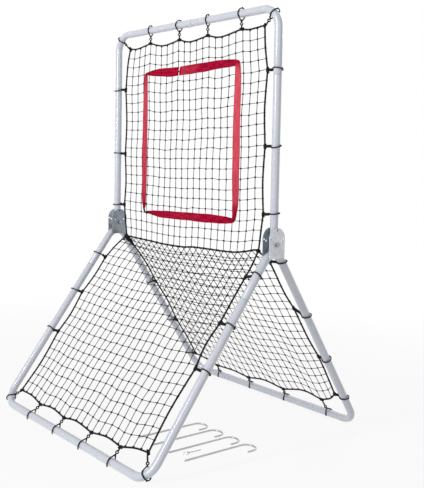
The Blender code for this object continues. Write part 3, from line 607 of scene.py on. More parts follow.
def makeLowerTubes():
    work, half, radius = tubeWork, plan["halfWidth"], plan["tubeRadius"]
    upLeg = Vector((0, math.sin(splay), math.cos(splay)))
    bendSide = Vector((0, math.cos(splay), -math.sin(splay)))
    straight = work["legSeam"] - work["elbowRadius"] / math.tan(splay)
    for name, side in (("left", -1), ("right", 1)):
        elbow = [("run", straight), ("bend", work["elbowRadius"], math.pi - 2 * splay, work["elbowSteps"])]
        elbow += [("run", straight)]
        seat = hub @ seatAt(Vector((side * half, 0, 0)) - upLeg * work["legSeam"], bendSide, upLeg)
        finishTube(f"hinge_elbow_{name}", drawOut(f"elbowTube_{name}", radius, elbow), seat, "lower_frame")
        for end, panel, inner, shift in groundEnds:
            leg = [
                ("run", work["spigotLength"]),
                ("width", radius, work["neck"]),
                ("run", legReach - work["cornerRadius"] - work["legSeam"] - work["neck"]),
                ("bend", work["cornerRadius"], math.pi / 2, work["cornerSteps"]),
                ("run", half - work["cornerRadius"] - work["barSeam"] - side * shift - work["neck"]),
            ]
            foot = (side * half, 0, work["legSeam"] - work["spigotLength"])
            seat = panel @ seatAt(foot, (-side, 0, 0), (0, 0, 1))
            pipe = drawOut(f"{end}CornerTube_{name}", work["spigotRadius"], leg)
            finishTube(f"{end}_corner_{name}", pipe, seat, "lower_frame")
    for end, panel, inner, shift in groundEnds:
        bar = [("run", work["spigotLength"]), ("width", radius, work["neck"])]
        bar += [("run", 2 * work["barSeam"]), *spigot()]
        x = shift - work["barSeam"] - work["neck"] - work["spigotLength"]
        seat = panel @ seatAt((x, 0, legReach), (0, 0, -1), (1, 0, 0))
        finishTube(f"{end}_bar", drawOut(f"{end}BarTube", work["spigotRadius"], bar), seat, "lower_frame")


makeUpperTubes()
makeLowerTubes()
print("tubes bent")


# snap buttons: a domed head on a folded leaf spring, made once and copied

snapWork = {
    "radius": 0.003,
    "rise": 0.003,
    "footRadius": 0.0038,
    "footThick": 0.0012,
    "footTop": 0.0086,
    "leafThick": 0.0007,
    "leafWidth": 0.006,
    "leafLength": 0.030,
    "leafLow": -0.0057,
    "foldHeight": 0.0007,
    "domeSteps": 8,
}


def makeSnapButtons():
    work = snapWork
    top = plan["tubeRadius"] + work["rise"]
    foot = work["footTop"] - work["footThick"]
    shoulder = top - work["radius"]
    dome = [("width", work["footRadius"], 0.0), ("run", work["footThick"]), ("width", work["radius"], 0.0)]
    dome += [("run", shoulder - work["footTop"])]
    last = 0.0
    for i in range(1, work["domeSteps"] + 1):
        angle = math.pi / 2 * min(i / work["domeSteps"], 0.97)
        dome += [("width", work["radius"] * math.cos(angle), work["radius"] * (math.sin(angle) - last))]
        last = math.sin(angle)
    head = closeEnds(drawOut("snapHead", work["footRadius"] * 0.9, dome, 32, (0, 0, foot)))
    leaf = fresh("snapLeaf", bpy.ops.mesh.primitive_plane_add, size=work["leafWidth"], location=(0, 0, foot))
    half, low = work["leafWidth"] / 2, work["leafLow"]
    route = [(half, 0, foot), (work["leafLength"], 0, work["foldHeight"]), (half, 0, low), (0, 0, low)]
    editAll(leaf)
    bpy.ops.mesh.select_mode(type="EDGE")
    for a, b in zip(route, route[1:]):
        bpy.ops.mesh.select_all(action="DESELECT")
        bm = bmesh.from_edit_mesh(leaf.data)
        tail = min(bm.edges, key=lambda e: (sum((v.co for v in e.verts), Vector()) / 2 - Vector(a)).length)
        tail.select_set(True)
        bmesh.update_edit_mesh(leaf.data)
        bpy.ops.mesh.extrude_region_move(TRANSFORM_OT_translate={"value": Vector(b) - Vector(a)})
    bpy.ops.mesh.select_mode(type="VERT")
    backToObject()
    thicken(leaf, work["leafThick"])
    head = pick(head, leaf)
    bpy.ops.object.join()
    for key, (seat, tubes) in snapSeats.items():
        button = setDown(copyOf(head, f"snapPush_{key}"), seat)
        finishPiece(button, finishes["button"], f"button_{key}", f"snap_button_{key}")
    bpy.data.objects.remove(head, do_unlink=True)


makeSnapButtons()
print("snap buttons made:", len(snapSeats))


# hinge brackets, bolts and nuts

bracket = {
    "thick": 0.0025,
    "gap": 0.0003,
    "halfWidth": 0.0325,
    "top": 0.0505,
    "bottom": 0.043,
    "corner": 0.004,
    "stopReaches": (0.022, 0.0315),
    "stopAngle": 30,  # degrees above level
    "edge": 0.00045,
}


def isLowerCorner(edge):
    a, b = (v.co for v in edge.verts)
    return a.y < 0 and b.y < 0 and abs(a.z - b.z) > bracket["thick"] / 2


def makePlates():
    half, thick = bracket["halfWidth"], bracket["thick"]
    middle = bracket["top"] - half
    height = middle + bracket["bottom"]
    holes = [(0, 0, tubeWork["boltHole"]), (0, tubeWork["lockReach"], tubeWork["lockHole"])]
    angle = math.radians(bracket["stopAngle"])
    for way in (-1, 1):
        for reach in bracket["stopReaches"]:
            holes.append((way * reach * math.cos(angle), reach * math.sin(angle), tubeWork["lockHole"]))
    disc = {"vertices": 96, "radius": half, "depth": thick, "location": (0, middle, 0)}
    first = fresh("bracketPlate", bpy.ops.mesh.primitive_cylinder_add, **disc)
    slab = {"size": 1, "location": (0, middle - height / 2, 0), "scale": (2 * half, height, thick)}
    block = fresh("plateBlock", bpy.ops.mesh.primitive_cube_add, **slab)
    editAll(block)
    bpy.ops.mesh.select_mode(type="EDGE")
    selectWhere(block, "edges", isLowerCorner)
    bpy.ops.mesh.bevel(offset=bracket["corner"], segments=8)
    bpy.ops.mesh.select_mode(type="VERT")
    backToObject()
    joinWith(first, block, "UNION")
    for x, y, radius in holes:
        punch(first, Matrix.Translation((x, y, 0)), radius, -thick, thick)
    editAll(first)
    bpy.ops.mesh.dissolve_limited(angle_limit=math.radians(1))
    backToObject()
    softenEdges(first, bracket["edge"])
    for name, side in (("left", -1), ("right", 1)):
        for layer, way in (("inner", -1), ("outer", 1)):
            x = side * (plan["halfWidth"] + way * (plan["tubeRadius"] + bracket["gap"] + thick / 2))
            plate = copyOf(first, f"bracketPlate_{name}_{layer}")
            setDown(plate, upperPanel @ seatAt((x, 0, 0), (0, 1, 0), (1, 0, 0)))
            node = f"bracket_{name}_{layer}"
            # each plate takes its copy of the zinc: the lighter one is painted light, the darker one on the
            # inner plates is painted shade
            finishPiece(plate, finishes[f"{layer}Plate"], "lower_frame", node, 30)
    bpy.data.objects.remove(first, do_unlink=True)


boltWork = {
    "radius": 0.004,
    "across": 0.013,
    "headHeight": 0.0053,
    "nutHeight": 0.0065,
    "tail": 0.002,
    "pitch": 0.00125,
    "threadDepth": 0.00045,
    "threadLength": 0.016,
    "lead": 0.0005,  # the chamfer at the shank's tip
    "sink": 0.001,  # how far the shank runs into the head
    "play": 0.0003,
}


def hexBlock(name, height, chamferBoth):
    corner = boltWork["across"] / 2 / math.cos(math.pi / 6)
    size = {"vertices": 6, "radius": corner, "depth": height, "rotation": (0, 0, math.pi / 6)}
    block = fresh(name, bpy.ops.mesh.primitive_cylinder_add, **size)
    slope = math.tan(math.radians(60))
    tight = boltWork["across"] / 2 * 0.97
    size = {"vertices": 64, "radius1": tight + height * slope, "radius2": tight, "depth": height}
    for turn in ((0, math.pi) if chamferBoth else (0,)):
        flip = Matrix.Rotation(turn, 4, "X")
        joinWith(block, fresh("chamfer", bpy.ops.mesh.primitive_cone_add, flip, **size), "INTERSECT")
    return block


def makeBolts():
    work = boltWork
    stack = plan["tubeRadius"] + 2 * bracket["gap"] + bracket["thick"]
    tailEnd = stack + work["nutHeight"] + work["tail"]
    crest, root = work["radius"], work["radius"] - work["threadDepth"]
    grooves = int(work["threadLength"] / work["pitch"])
    moves = [("width", crest, work["lead"])]
    moves += [("width", root, work["pitch"] / 2), ("width", crest, work["pitch"] / 2)] * grooves
    moves += [("run", tailEnd + stack + work["sink"] - work["lead"] - grooves * work["pitch"])]
    shank = closeEnds(drawOut("boltShank", crest - work["lead"], moves, 32, (0, 0, -tailEnd)))
    bolt = hexBlock("hingeBolt", work["headHeight"], False)
    setDown(bolt, Matrix.Translation((0, 0, stack + work["headHeight"] / 2)))
    joinWith(bolt, shank, "UNION")
    nut = hexBlock("hingeNut", work["nutHeight"], True)
    punch(nut, Matrix(), work["radius"] + work["play"], -0.01, 0.01)
    setDown(nut, Matrix.Translation((0, 0, -stack - work["nutHeight"] / 2)))
    for name, side in (("left", -1), ("right", 1)):
        seat = hub @ seatAt((side * plan["halfWidth"], 0, 0), (0, 1, 0), (side, 0, 0))
        for first, piece, node in ((bolt, "hingeBolt", "hinge_bolt"), (nut, "hingeNut", "hinge_nut")):
            copy = setDown(copyOf(first, f"{piece}_{name}"), seat)
            finishPiece(copy, finishes["bolt"], "lower_frame", f"{node}_{name}", 25)
    for first in (bolt, nut):
        bpy.data.objects.remove(first, do_unlink=True)


makePlates()
makeBolts()
print("brackets, bolts and nuts made")


# cords: splines with a round section, made mesh


def layCords(name, routes, radius, detail=1):
    curve = bpy.data.curves.new(name, "CURVE")
    curve.dimensions = "3D"
    curve.bevel_depth = radius
    curve.bevel_resolution = detail
    curve.use_fill_caps = True
    for route in routes:
        spline = curve.splines.new("POLY")
        spline.points.add(len(route) - 1)
        for knot, point in zip(spline.points, route):
            knot.co = (*point, 1)
    cord = bpy.data.objects.new(name, curve)
    bpy.context.scene.collection.objects.link(cord)
    pick(cord)
    bpy.ops.object.convert(target="MESH")
    return newest(name)


def smoothRun(points, spacing):
    points = [Vector(p) for p in points]
    ends = [2 * points[0] - points[1], *points, 2 * points[-1] - points[-2]]
    run = []
    for a, b, c, d in zip(ends, ends[1:], ends[2:], ends[3:]):
        steps = max(1, round((c - b).length / spacing))
        for i in range(steps):
            t = i / steps
            run.append(
                b
                + (c - a) * (t / 2)
                + (2 * a - 5 * b + 4 * c - d) * (t * t / 2)
                + (3 * b - a - 3 * c + d) * (t * t * t / 2)
            )
    return [*run, points[-1]]


def hangBetween(points, held, spacing):  # smooth between the held points, with a corner at each
    stops = sorted({0, len(points) - 1, *held})
    run = []
    for a, b in zip(stops, stops[1:]):
        part = smoothRun(points[a : b + 1], spacing)
        run += part if b == stops[-1] else part[:-1]
    return run


def alongRun(run, share):
    lengths = [(b - a).length for a, b in zip(run, run[1:])]
    left = share * sum(lengths)
    for a, b, length in zip(run, run[1:], lengths):
        if left <= length and length > 0:
            return a.lerp(b, left / length)
        left -= length
    return run[-1].copy()


def twistStrands(run, radius, pitch, strands=3, steps=7):
    run = evenly(run, pitch / steps)
    across, turned = None, [[] for _ in range(strands)]
    for i, point in enumerate(run):
        ahead = run[min(i + 1, len(run) - 1)] - run[max(i - 1, 0)]
        ahead.normalize()
        across = across or Vector((0.13, 1, 0.21)).cross(ahead)
        across = (across - ahead * across.dot(ahead)).normalized()
        up = ahead.cross(across)
        for k in range(strands):
            angle = 2 * math.pi * (i / steps + k / strands)
            turned[k].append(point + (across * math.cos(angle) + up * math.sin(angle)) * radius * 0.5)
    return turned


def evenly(run, spacing):
    out, need = [run[0].copy()], spacing
    for a, b in zip(run, run[1:]):
        length = (b - a).length
        while need <= length:
            out.append(a.lerp(b, need / length))
            need += spacing
        need -= length
    return out


netWork = {
    "ropeRadius": 0.0031,
    "hingeRopeRadius": 0.0033,
    "ropePitch": 0.014,
    "hingeRopePitch": 0.017,
    "strandShare": 0.52,  # a strand's radius as a share of its rope's
    "spacing": 0.004,  # between the points of a rope's route
    "twineAcross": 0.001,
    "twineDown": 0.00115,
    "knot": 0.0035,
    "inset": 0.0025,
    "bendTop": (0, 0, 0.683),
    "bendFoot": (0, 0, 0.595),
    "sag": 0.004,
    "drift": (0.0028, 0.004),  # across and along the panel, shared by neighbours
    "jitter": (0.0016, 0.0034),  # the same, for each crossing by itself
}

# the hinge rope, then each net's ropes as (x, reach from the hinge, set in) from the hinge outward
hingeRoute = [
    (-0.362, -0.048), (-0.204, -0.053), (-0.124, -0.056), (-0.015, -0.055), (0.051, -0.049),
    (0.230, -0.045), (0.300, -0.036), (0.346, -0.026), (0.361, -0.028),
]

nets = {
    "upper": {
        "left": [
            (-0.362, -0.036, 0), (-0.370, 0.011, 0), (-0.378, 0.070, 0), (-0.370, 0.160, 0),
            (-0.376, 0.265, 0), (-0.369, 0.385, 0), (-0.377, 0.508, 0), (-0.366, 0.600, 0),
            (-0.350, 0.659, 0),
        ],
        "far": [
            (-0.350, 0.659, 0), (-0.304, 0.655, 0), (-0.223, 0.667, 0), (-0.144, 0.652, 0),
            (-0.053, 0.663, 0), (0.008, 0.651, 0), (0.099, 0.662, 0), (0.164, 0.651, 0),
            (0.264, 0.665, 0), (0.300, 0.660, 0), (0.367, 0.665, 0),
        ],
        "right": [
            (0.363, -0.016, 0), (0.370, 0.036, 0), (0.378, 0.088, 0), (0.373, 0.190, 0),
            (0.379, 0.297, 0), (0.374, 0.410, 0), (0.383, 0.529, 0), (0.371, 0.601, 0),
            (0.367, 0.665, 0),
        ],
        "ties": {
            "left": [(0.070, 2), (0.265, 4), (0.508, 6)],
            "far": [(-0.222, 2), (-0.054, 4), (0.098, 6), (0.263, 8)],
            "right": [(0.094, 2), (0.297, 4), (0.529, 6)],
            "corners": ["left", "right"],
        },
        "meshes": (22, 21),
        "seed": 5,
    },
    "front": {
        "left": [
            (-0.381, 0.093, 0.022), (-0.389, 0.149, 0.016), (-0.373, 0.232, 0.007), (-0.374, 0.311, 0),
            (-0.363, 0.400, 0), (-0.372, 0.478, 0), (-0.362, 0.600, 0), (-0.374, 0.716, 0),
        ],
        "far": [
            (-0.374, 0.716, 0), (-0.297, 0.716, 0), (-0.223, 0.728, 0), (-0.149, 0.720, 0),
            (-0.064, 0.729, 0), (0.003, 0.720, 0), (0.100, 0.728, 0), (0.178, 0.718, 0),
            (0.255, 0.724, 0), (0.315, 0.708, 0), (0.372, 0.702, 0),
        ],
        "right": [
            (0.359, 0.078, 0.023), (0.361, 0.116, 0.020), (0.370, 0.192, 0.010), (0.380, 0.286, 0),
            (0.370, 0.360, 0), (0.379, 0.437, 0), (0.368, 0.570, 0), (0.372, 0.702, 0),
        ],
        "ties": {
            "left": [(0.145, 1), (0.311, 3), (0.478, 5)],
            "far": [(-0.239, 2), (-0.069, 4), (0.089, 6), (0.250, 8)],
            "right": [(0.112, 1), (0.286, 3), (0.437, 5)],
            "corners": ["left", "right"],
        },
        "meshes": (22, 20),
        "seed": 11,
    },
    "rear": {
        "left": [
            (-0.374, 0.090, 0.014), (-0.373, 0.190, 0.004), (-0.384, 0.293, 0), (-0.375, 0.390, 0),
            (-0.388, 0.498, 0), (-0.380, 0.590, 0), (-0.384, 0.683, 0),
        ],
        "far": [
            (-0.384, 0.683, 0), (-0.320, 0.697, 0), (-0.266, 0.717, 0), (-0.166, 0.714, 0),
            (-0.086, 0.727, 0), (0.012, 0.708, 0), (0.106, 0.724, 0), (0.222, 0.691, 0),
            (0.301, 0.708, 0), (0.350, 0.685, 0), (0.385, 0.651, 0),
        ],
        "right": [
            (0.376, 0.070, 0.005), (0.370, 0.120, 0), (0.370, 0.202, 0), (0.381, 0.268, 0),
            (0.382, 0.390, 0), (0.392, 0.475, 0), (0.391, 0.541, 0), (0.385, 0.651, 0),
        ],
        "ties": {
            "left": [(0.293, 2), (0.498, 4), (0.683, 6)],
            "far": [(-0.282, 2), (-0.094, 4), (0.098, 6), (0.307, 8)],
            "right": [(0.068, 0), (0.286, 3), (0.475, 5), (0.651, 7)],
            "corners": [],
        },
        "meshes": (23, 20),
        "seed": 17,
    },
}

# for each net: its panel, the side of the panel's Y on which its ropes are set in, and its body
netHomes = {
    "upper": (upperPanel, -1, None),
    "front": (frontPanel, -1, "lower_frame"),
    "rear": (rearPanel, 1, "lower_frame"),
}


def hingeLine(panel):  # the hinge rope in a panel's own coordinates
    back = panel.inverted() @ hub
    return [back @ Vector((x, 0, z)) for x, z in hingeRoute]


def netEdges(key):
    net, (panel, inner, body) = nets[key], netHomes[key]
    line = hingeLine(panel)
    sides = {}
    for edge in ("left", "far", "right"):
        points = [Vector((x, inner * inset, v)) for x, v, inset in net[edge]]
        held = [number for place, number in net["ties"][edge]]
        if edge != "far":
            start = line[0] if edge == "left" else line[-1]
            points = [start, *points]
            held = [number + 1 for number in held]
        sides[edge] = hangBetween(points, held, netWork["spacing"])
    sides["near"] = smoothRun(line, netWork["spacing"])
    return sides


def ropeStep(key, sides):
    panel, inner, body = netHomes[key]
    whole = [*sides["left"][:-1], *sides["far"][:-1], *reversed(sides["right"])]
    strands = twistStrands(whole, netWork["ropeRadius"], netWork["ropePitch"])
    rope = layCords(f"{key}EdgeRope", strands, netWork["ropeRadius"] * netWork["strandShare"])
    setDown(rope, panel)
    finishPiece(rope, finishes["rope"], body, f"{key}_net_rope", 60)
    return rope


def patch(sides, inset):
    near, far = sides["near"], [p - Vector((0, 0, inset)) for p in sides["far"]]
    left = [p + Vector((inset, 0, 0)) for p in sides["left"]]
    right = [p - Vector((inset, 0, 0)) for p in sides["right"]]

    def place(s, t):
        p, q = alongRun(near, s), alongRun(far, s)
        a, b = alongRun(left, t), alongRun(right, t)
        high = far[0].lerp(far[-1], s)
        q = high + (q - high) * t * t  # the scallops of the far edge fade out over the net
        leftOff = a - left[0].lerp(left[-1], t)
        rightOff = b - right[0].lerp(right[-1], t)
        return p.lerp(q, t) + leftOff * (1 - s) ** 6 + rightOff * s**6

    return place


def stampKnots(name, places, size, seed):  # one lump of twine, copied to each crossing
    lump = fresh("lump", bpy.ops.mesh.primitive_uv_sphere_add, segments=8, ring_count=5, radius=1)
    verts = [v.co.copy() for v in lump.data.vertices]
    faces = [tuple(p.vertices) for p in lump.data.polygons]
    bpy.data.objects.remove(lump, do_unlink=True)
    roll = random.Random(seed)
    allVerts, allFaces = [], []
    for place in places:
        spin = Matrix.Rotation(roll.uniform(0.5, 1.1), 3, "Y")
        spin = spin @ Matrix.Rotation(roll.uniform(-0.4, 0.4), 3, "X")
        shape = Matrix.Diagonal((size * roll.uniform(1.0, 1.25), size * roll.uniform(0.75, 0.95), size * 0.85))
        turned = spin @ shape
        base = len(allVerts)
        allVerts += [place + turned @ v for v in verts]
        allFaces += [tuple(base + i for i in face) for face in faces]
    mesh = bpy.data.meshes.new(name)
    mesh.from_pydata(allVerts, [], allFaces)
    mesh.uv_layers.new(name="UVMap")
    knots = bpy.data.objects.new(name, mesh)
    bpy.context.scene.collection.objects.link(knots)
    return knots


def meshStep(key, sides):
    net, (panel, inner, body) = nets[key], netHomes[key]
    columns, rows = net["meshes"]
    place = patch(sides, netWork["inset"])
    seed = net["seed"]
    noise.seed_set(seed)
    grid = [[] for _ in range(columns + 1)]
    for i, line in enumerate(grid):
        for j in range(rows + 1):
            s, t = i / columns, j / rows
            spot = place(s, t)
            free = min(1.0, 5 * min(s, 1 - s, t, 1 - t))
            drift = noise.noise_vector(Vector((spot.x * 9 + seed, spot.z * 9, seed)))
            jitter = noise.noise_vector(Vector((i * 1.7 + seed, j * 1.3, 3.1)))
            back = netWork["sag"] * free * (0.6 + drift.y)
            aside = netWork["drift"][0] * drift.x + netWork["jitter"][0] * jitter.x
            along = netWork["drift"][1] * drift.z + netWork["jitter"][1] * jitter.z
            spot += Vector((aside, 0, along)) * free
            spot.y -= inner * max(back, 0)
            line.append(spot)
    down = grid[1:-1]
    across = [[grid[i][j] for i in range(columns + 1)] for j in range(1, rows)]
    strands = [
        layCords(f"{key}Down", down, netWork["twineDown"]),
        layCords(f"{key}Across", across, netWork["twineAcross"]),
        stampKnots(f"{key}Knots", [p for line in down for p in line[1:-1]], netWork["knot"], seed),
    ]
    edge = [grid[0][j] for j in range(1, rows)] + [grid[-1][j] for j in range(1, rows)]
    edge += [grid[i][-1] for i in range(1, columns)] + [grid[i][0] for i in range(1, columns)]
    strands.append(stampKnots(f"{key}EdgeKnots", edge, netWork["knot"] * 1.15, seed + 1))
    mesh = pick(*strands)
    bpy.ops.object.join()
    mesh = newest(f"{key}Netting")
    setDown(mesh, panel)
    finishPiece(mesh, finishes["twine"], body, f"{key}_net", 60)
    return mesh


# ties: a loop round the tube, an open ring or a close coil, and a wrap round the rope with loose tails

tieWork = {
    "radius": 0.0020,
    "loop": 0.0147,
    "slack": 0.0028,
    "eye": 0.0039,
    "eyeGap": 0.0092,
    "neck": 0.0025,
    "coil": (0.0012, 0.0055),  # radius and pitch of the neck under a ring
    "closeCoil": (0.0029, 0.0031),
    "wrap": 0.0034,
    "wrapPitch": 0.0032,
    "wraps": 4,
    "tail": 0.009,
    "tailBow": 0.0015,
    "spurRise": 0.002,
    "spurReach": 0.0035,
    "faces": (0.76, -0.65, 0),  # the way in which the little rings hang open
    "skew": 0.0035,
    "tuck": 45,  # degrees from straight down where a loop goes under a bar on the floor
}


def helix(start, end, radius, pitch, steps=9):
    ahead = (end - start).normalized()
    side = ahead.orthogonal().normalized()
    up = ahead.cross(side)
    count = max(1, round((end - start).length / pitch * steps))
    spots = []
    for i in range(count + 1):
        angle = 2 * math.pi * i / steps
        spots.append(start.lerp(end, i / count) + (side * math.cos(angle) + up * math.sin(angle)) * radius)
    return spots


def tieRoutes(rope, centre, along, ropeAlong, front, floorDown, roll, faces, ringed=True):
    work = tieWork
    rope, centre, along = Vector(rope), Vector(centre), Vector(along).normalized()
    slip = along * (rope - centre).dot(along)
    toward = (rope - centre - slip).normalized()
    across = along.cross(toward)
    if across.dot(front) < 0:
        across = -across
    eyeReach = work["loop"] + work["eyeGap"] + roll.uniform(-0.001, 0.0015)
    eye = centre + toward * eyeReach + slip * 0.4 + along * roll.uniform(-0.002, 0.002)
    start = math.acos(work["loop"] / eyeReach)
    skew = work["skew"] * roll.uniform(0.5, 1.2) * roll.choice((-1, 1))
    arc, steps = [], 30
    for i in range(steps + 1):
        angle = start + (2 * math.pi - 2 * start) * i / steps
        reach = work["loop"] + work["slack"] * max(0, -math.cos(angle)) ** 3
        spot = centre + (toward * math.cos(angle) + across * math.sin(angle)) * reach
        arc.append(spot + along * skew * math.sin(angle))
    routes = [[eye, *arc, eye]]
    if floorDown is not None:
        keep = math.cos(math.radians(work["tuck"]))
        under = [(p - centre).normalized().dot(floorDown) > keep for p in arc]
        if True in under:
            first, last = under.index(True), len(arc) - under[::-1].index(True)
            routes = [[eye, *arc[:first]], [*arc[last:], eye]]
    elif roll.random() < 0.8:
        far = centre - toward * (work["loop"] + work["slack"] * 0.6)
        bend = far - toward * work["spurRise"] + along * work["spurRise"]
        routes.append([far, bend, far - toward * work["spurReach"] + along * roll.uniform(0.001, 0.004)])
    pull = (rope - eye).normalized()
    flat = pull.cross(faces).normalized()
    hookEnd = eye - toward * roll.uniform(0.004, 0.007) + along * roll.uniform(0.004, 0.006) + across * 0.003
    coilStart, coil = eye - pull * 0.003, work["closeCoil"]
    if ringed:
        routes.append([hookEnd, eye, eye + pull * work["neck"]])
        middle = eye + pull * (work["neck"] + work["eye"])
        ring = []
        for i in range(15):
            angle = 2 * math.pi * i / 12
            ring.append(middle + (flat * math.sin(angle) - pull * math.cos(angle)) * work["eye"])
        routes.append(ring)
        coilStart, coil = middle + pull * work["eye"], work["coil"]
    ropeAlong = Vector(ropeAlong).normalized()
    inward = eye - rope
    inward = (inward - ropeAlong * inward.dot(ropeAlong)).normalized()
    sideways = ropeAlong.cross(inward)
    routes.append(helix(coilStart, rope + inward * 0.003, *coil))
    half = ropeAlong * (work["wraps"] * work["wrapPitch"] / 2)
    routes.append(helix(rope - half, rope + half, work["wrap"], work["wrapPitch"]))
    cross = inward * work["wrap"] * 0.9
    routes.append([rope + cross - half * 1.3, rope + cross * 1.25, rope + cross + half * 1.3])
    for way, share in ((-1, 1.0), (1, 0.6)):
        heading = sideways * roll.uniform(-0.5, 0.5) + ropeAlong * way * roll.uniform(0.6, 1)
        heading = (heading + inward * roll.uniform(0.2, 0.9)).normalized()
        root = rope + ropeAlong * way * work["wrap"]
        bow = Vector([roll.uniform(-1, 1) for _ in range(3)]) * work["tailBow"]
        middleSpot = root + heading * work["tail"] * 0.5 * share + bow
        routes.append([root, middleSpot, root + heading * work["tail"] * share * roll.uniform(0.7, 1.0)])
    return routes


def ropeWay(run, point):
    near = min(range(1, len(run) - 1), key=lambda i: (run[i] - point).length)
    return run[near + 1] - run[near - 1]


def tieStep(key, sides):
    net, (panel, inner, body) = nets[key], netHomes[key]
    roll = random.Random(net["seed"] + 100)
    front = Vector((0, -1, 0)) if key == "upper" else Vector((0, -inner, 0))
    down = None if key == "upper" else panel.to_3x3().inverted() @ Vector((0, 0, -1))
    faces = panel.to_3x3().inverted() @ Vector(tieWork["faces"])
    reach = plan["topReach"] if key == "upper" else legReach
    routes = []
    for edge, side in (("left", -1), ("right", 1), ("far", 0)):
        for place, number in net["ties"][edge]:
            x, v, inset = net[edge][number]
            rope = Vector((x, inner * inset, v))
            centre = (side * plan["halfWidth"], 0, place) if side else (place, 0, reach)
            along = (0, 0, 1) if side else (1, 0, 0)
            way = ropeWay(sides[edge], rope)
            routes += tieRoutes(rope, centre, along, way, front, None if side else down, roll, faces, not side)
    back = tubeWork["cornerRadius"] * (1 - math.sqrt(0.5))
    for edge in net["ties"]["corners"]:
        side = -1 if edge == "left" else 1
        x, v, inset = net[edge][-1]
        centre = (side * (plan["halfWidth"] - back), 0, reach - back)
        routes += tieRoutes(Vector((x, 0, v)), centre, (-side, 0, 1), (side, 0, 1), front, None, roll, faces)
    ties = layCords(f"{key}Ties", routes, tieWork["radius"])
    setDown(ties, panel)
    finishPiece(ties, finishes["rope"], body or "upper_frame", None, 60)


def makeNets():
    for key in nets:
        sides = netEdges(key)
        pieces = [ropeStep(key, sides), meshStep(key, sides)]
        tieStep(key, sides)
        for piece in pieces if key == "upper" else ():
            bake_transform(piece)
        print("net laid:", key)


makeNets()


# the knots of the hinge rope, and the spare cord wound about the start of a side rope at the left hinge

hingeKnots = {
    "overhang": 0.006,
    "tieReach": 0.080,
    "coilRadius": 0.0047,
    "coilPitch": 0.0022,
    "coilStart": -0.004,
    "coilShifts": (0.0, 0.002),
    "spacing": 0.0012,
    "windings": ((1, 1.15), (-1, 0.83)),  # way round, radians from point to point
    "reach": 0.0064,
    "taper": 0.55,
    "unevenness": 0.001,
    "loops": 22,
    "loopWidths": (0.0045, 0.0085),
    "loopHeights": (0.003, 0.006),
    "ends": 8,
    "endLength": 0.012,
    "length": 16,  # points of the side rope
    "seed": 31,
}


def bundle(run, roll):
    work = hingeKnots
    run = evenly(run, work["spacing"])
    routes = []
    for way, twist in work["windings"]:
        coil = []
        for i, point in enumerate(run):
            ahead = (run[min(i + 1, len(run) - 1)] - run[max(i - 1, 0)]).normalized()
            sideA = ahead.cross(Vector((0, 1, 0))).normalized()
            sideB = ahead.cross(sideA)
            reach = work["reach"] * (1 - work["taper"] * i / len(run))
            reach += work["unevenness"] * math.sin(i * 1.7 + way)
            angle = way * i * twist
            coil.append(point + (sideA * math.cos(angle) + sideB * math.sin(angle)) * reach)
        routes.append(coil)
    for _ in range(work["loops"]):
        centre = run[roll.randrange(0, round(len(run) * 0.75))]
        turn = Matrix.Rotation(roll.uniform(0, 3.1), 3, "X") @ Matrix.Rotation(roll.uniform(0, 3.1), 3, "Z")
        wide, tall = roll.uniform(*work["loopWidths"]), roll.uniform(*work["loopHeights"])
        loop = []
        for k in range(11):
            angle = 2 * math.pi * k / 10
            spot = Vector((wide * math.cos(angle), tall * math.sin(angle), 0.001 * k / 10))
            loop.append(centre + turn @ spot)
        routes.append(loop)
    for _ in range(work["ends"]):
        root = run[roll.randrange(0, round(len(run) * 0.7))]
        heading = Vector((roll.uniform(-1, 1), roll.uniform(-0.6, 0.6), roll.uniform(-1, 0.6))).normalized()
        half = work["endLength"] / 2
        routes.append([root, root + heading * half + Vector((0, 0, 0.001)), root + heading * work["endLength"]])
    return routes


def makeHingeRope():
    work = hingeKnots
    line = [Vector((x, 0, z)) for x, z in hingeRoute]
    for end, near in ((0, 1), (-1, -2)):
        line[end] = line[end] + (line[end] - line[near]).normalized() * work["overhang"]
    radius = netWork["hingeRopeRadius"]
    strands = twistStrands(smoothRun(line, netWork["spacing"]), radius, netWork["hingeRopePitch"])
    rope = layCords("hingeLineRope", strands, radius * netWork["strandShare"])
    setDown(rope, hub)
    finishPiece(rope, finishes["rope"], "lower_frame", "hinge_rope", 60)
    roll = random.Random(work["seed"])
    leg = Vector((0, math.sin(splay), -math.cos(splay)))
    left, right = (Vector((hingeRoute[end][0], 0, hingeRoute[end][1])) for end in (0, -1))
    centre = Vector((-plan["halfWidth"], 0, 0)) + leg * work["tieReach"]
    faces = Vector(tieWork["faces"])
    routes = tieRoutes(left, centre, leg, line[0] - line[1], Vector((0, -1, 0)), None, roll, faces)
    for spot, way in ((left, line[0] - line[1]), (right, line[-1] - line[-2])):
        way = way.normalized()
        sideA = way.cross(Vector((0, 1, 0))).normalized()
        sideB = way.cross(sideA)
        for shift in work["coilShifts"]:
            coil = []
            for i in range(31):
                angle = 2 * math.pi * i / 10
                aside = (sideA * math.cos(angle) + sideB * math.sin(angle)) * work["coilRadius"]
                coil.append(spot + aside + way * (shift + work["coilPitch"] * i / 10 + work["coilStart"]))
            routes.append(coil)
    back = hub.inverted() @ rearPanel
    rearRun = [back @ p for p in netEdges("rear")["left"]]
    routes += bundle(rearRun[: work["length"]], roll)
    knots = layCords("hingeKnots", routes, tieWork["radius"])
    setDown(knots, hub)
    finishPiece(knots, finishes["rope"], "lower_frame", None, 60)


makeHingeRope()
print("hinge rope laid")


# zone ribbons: webbing that narrows where it folds at the corners


def between(points, t):  # a line through (place, value) points
    for (a, low), (b, high) in zip(points, points[1:]):
        if t <= b:
            ease = max(0, t - a) / (b - a)
            return low + (high - low) * ease * ease * (3 - 2 * ease)
    return points[-1][1]
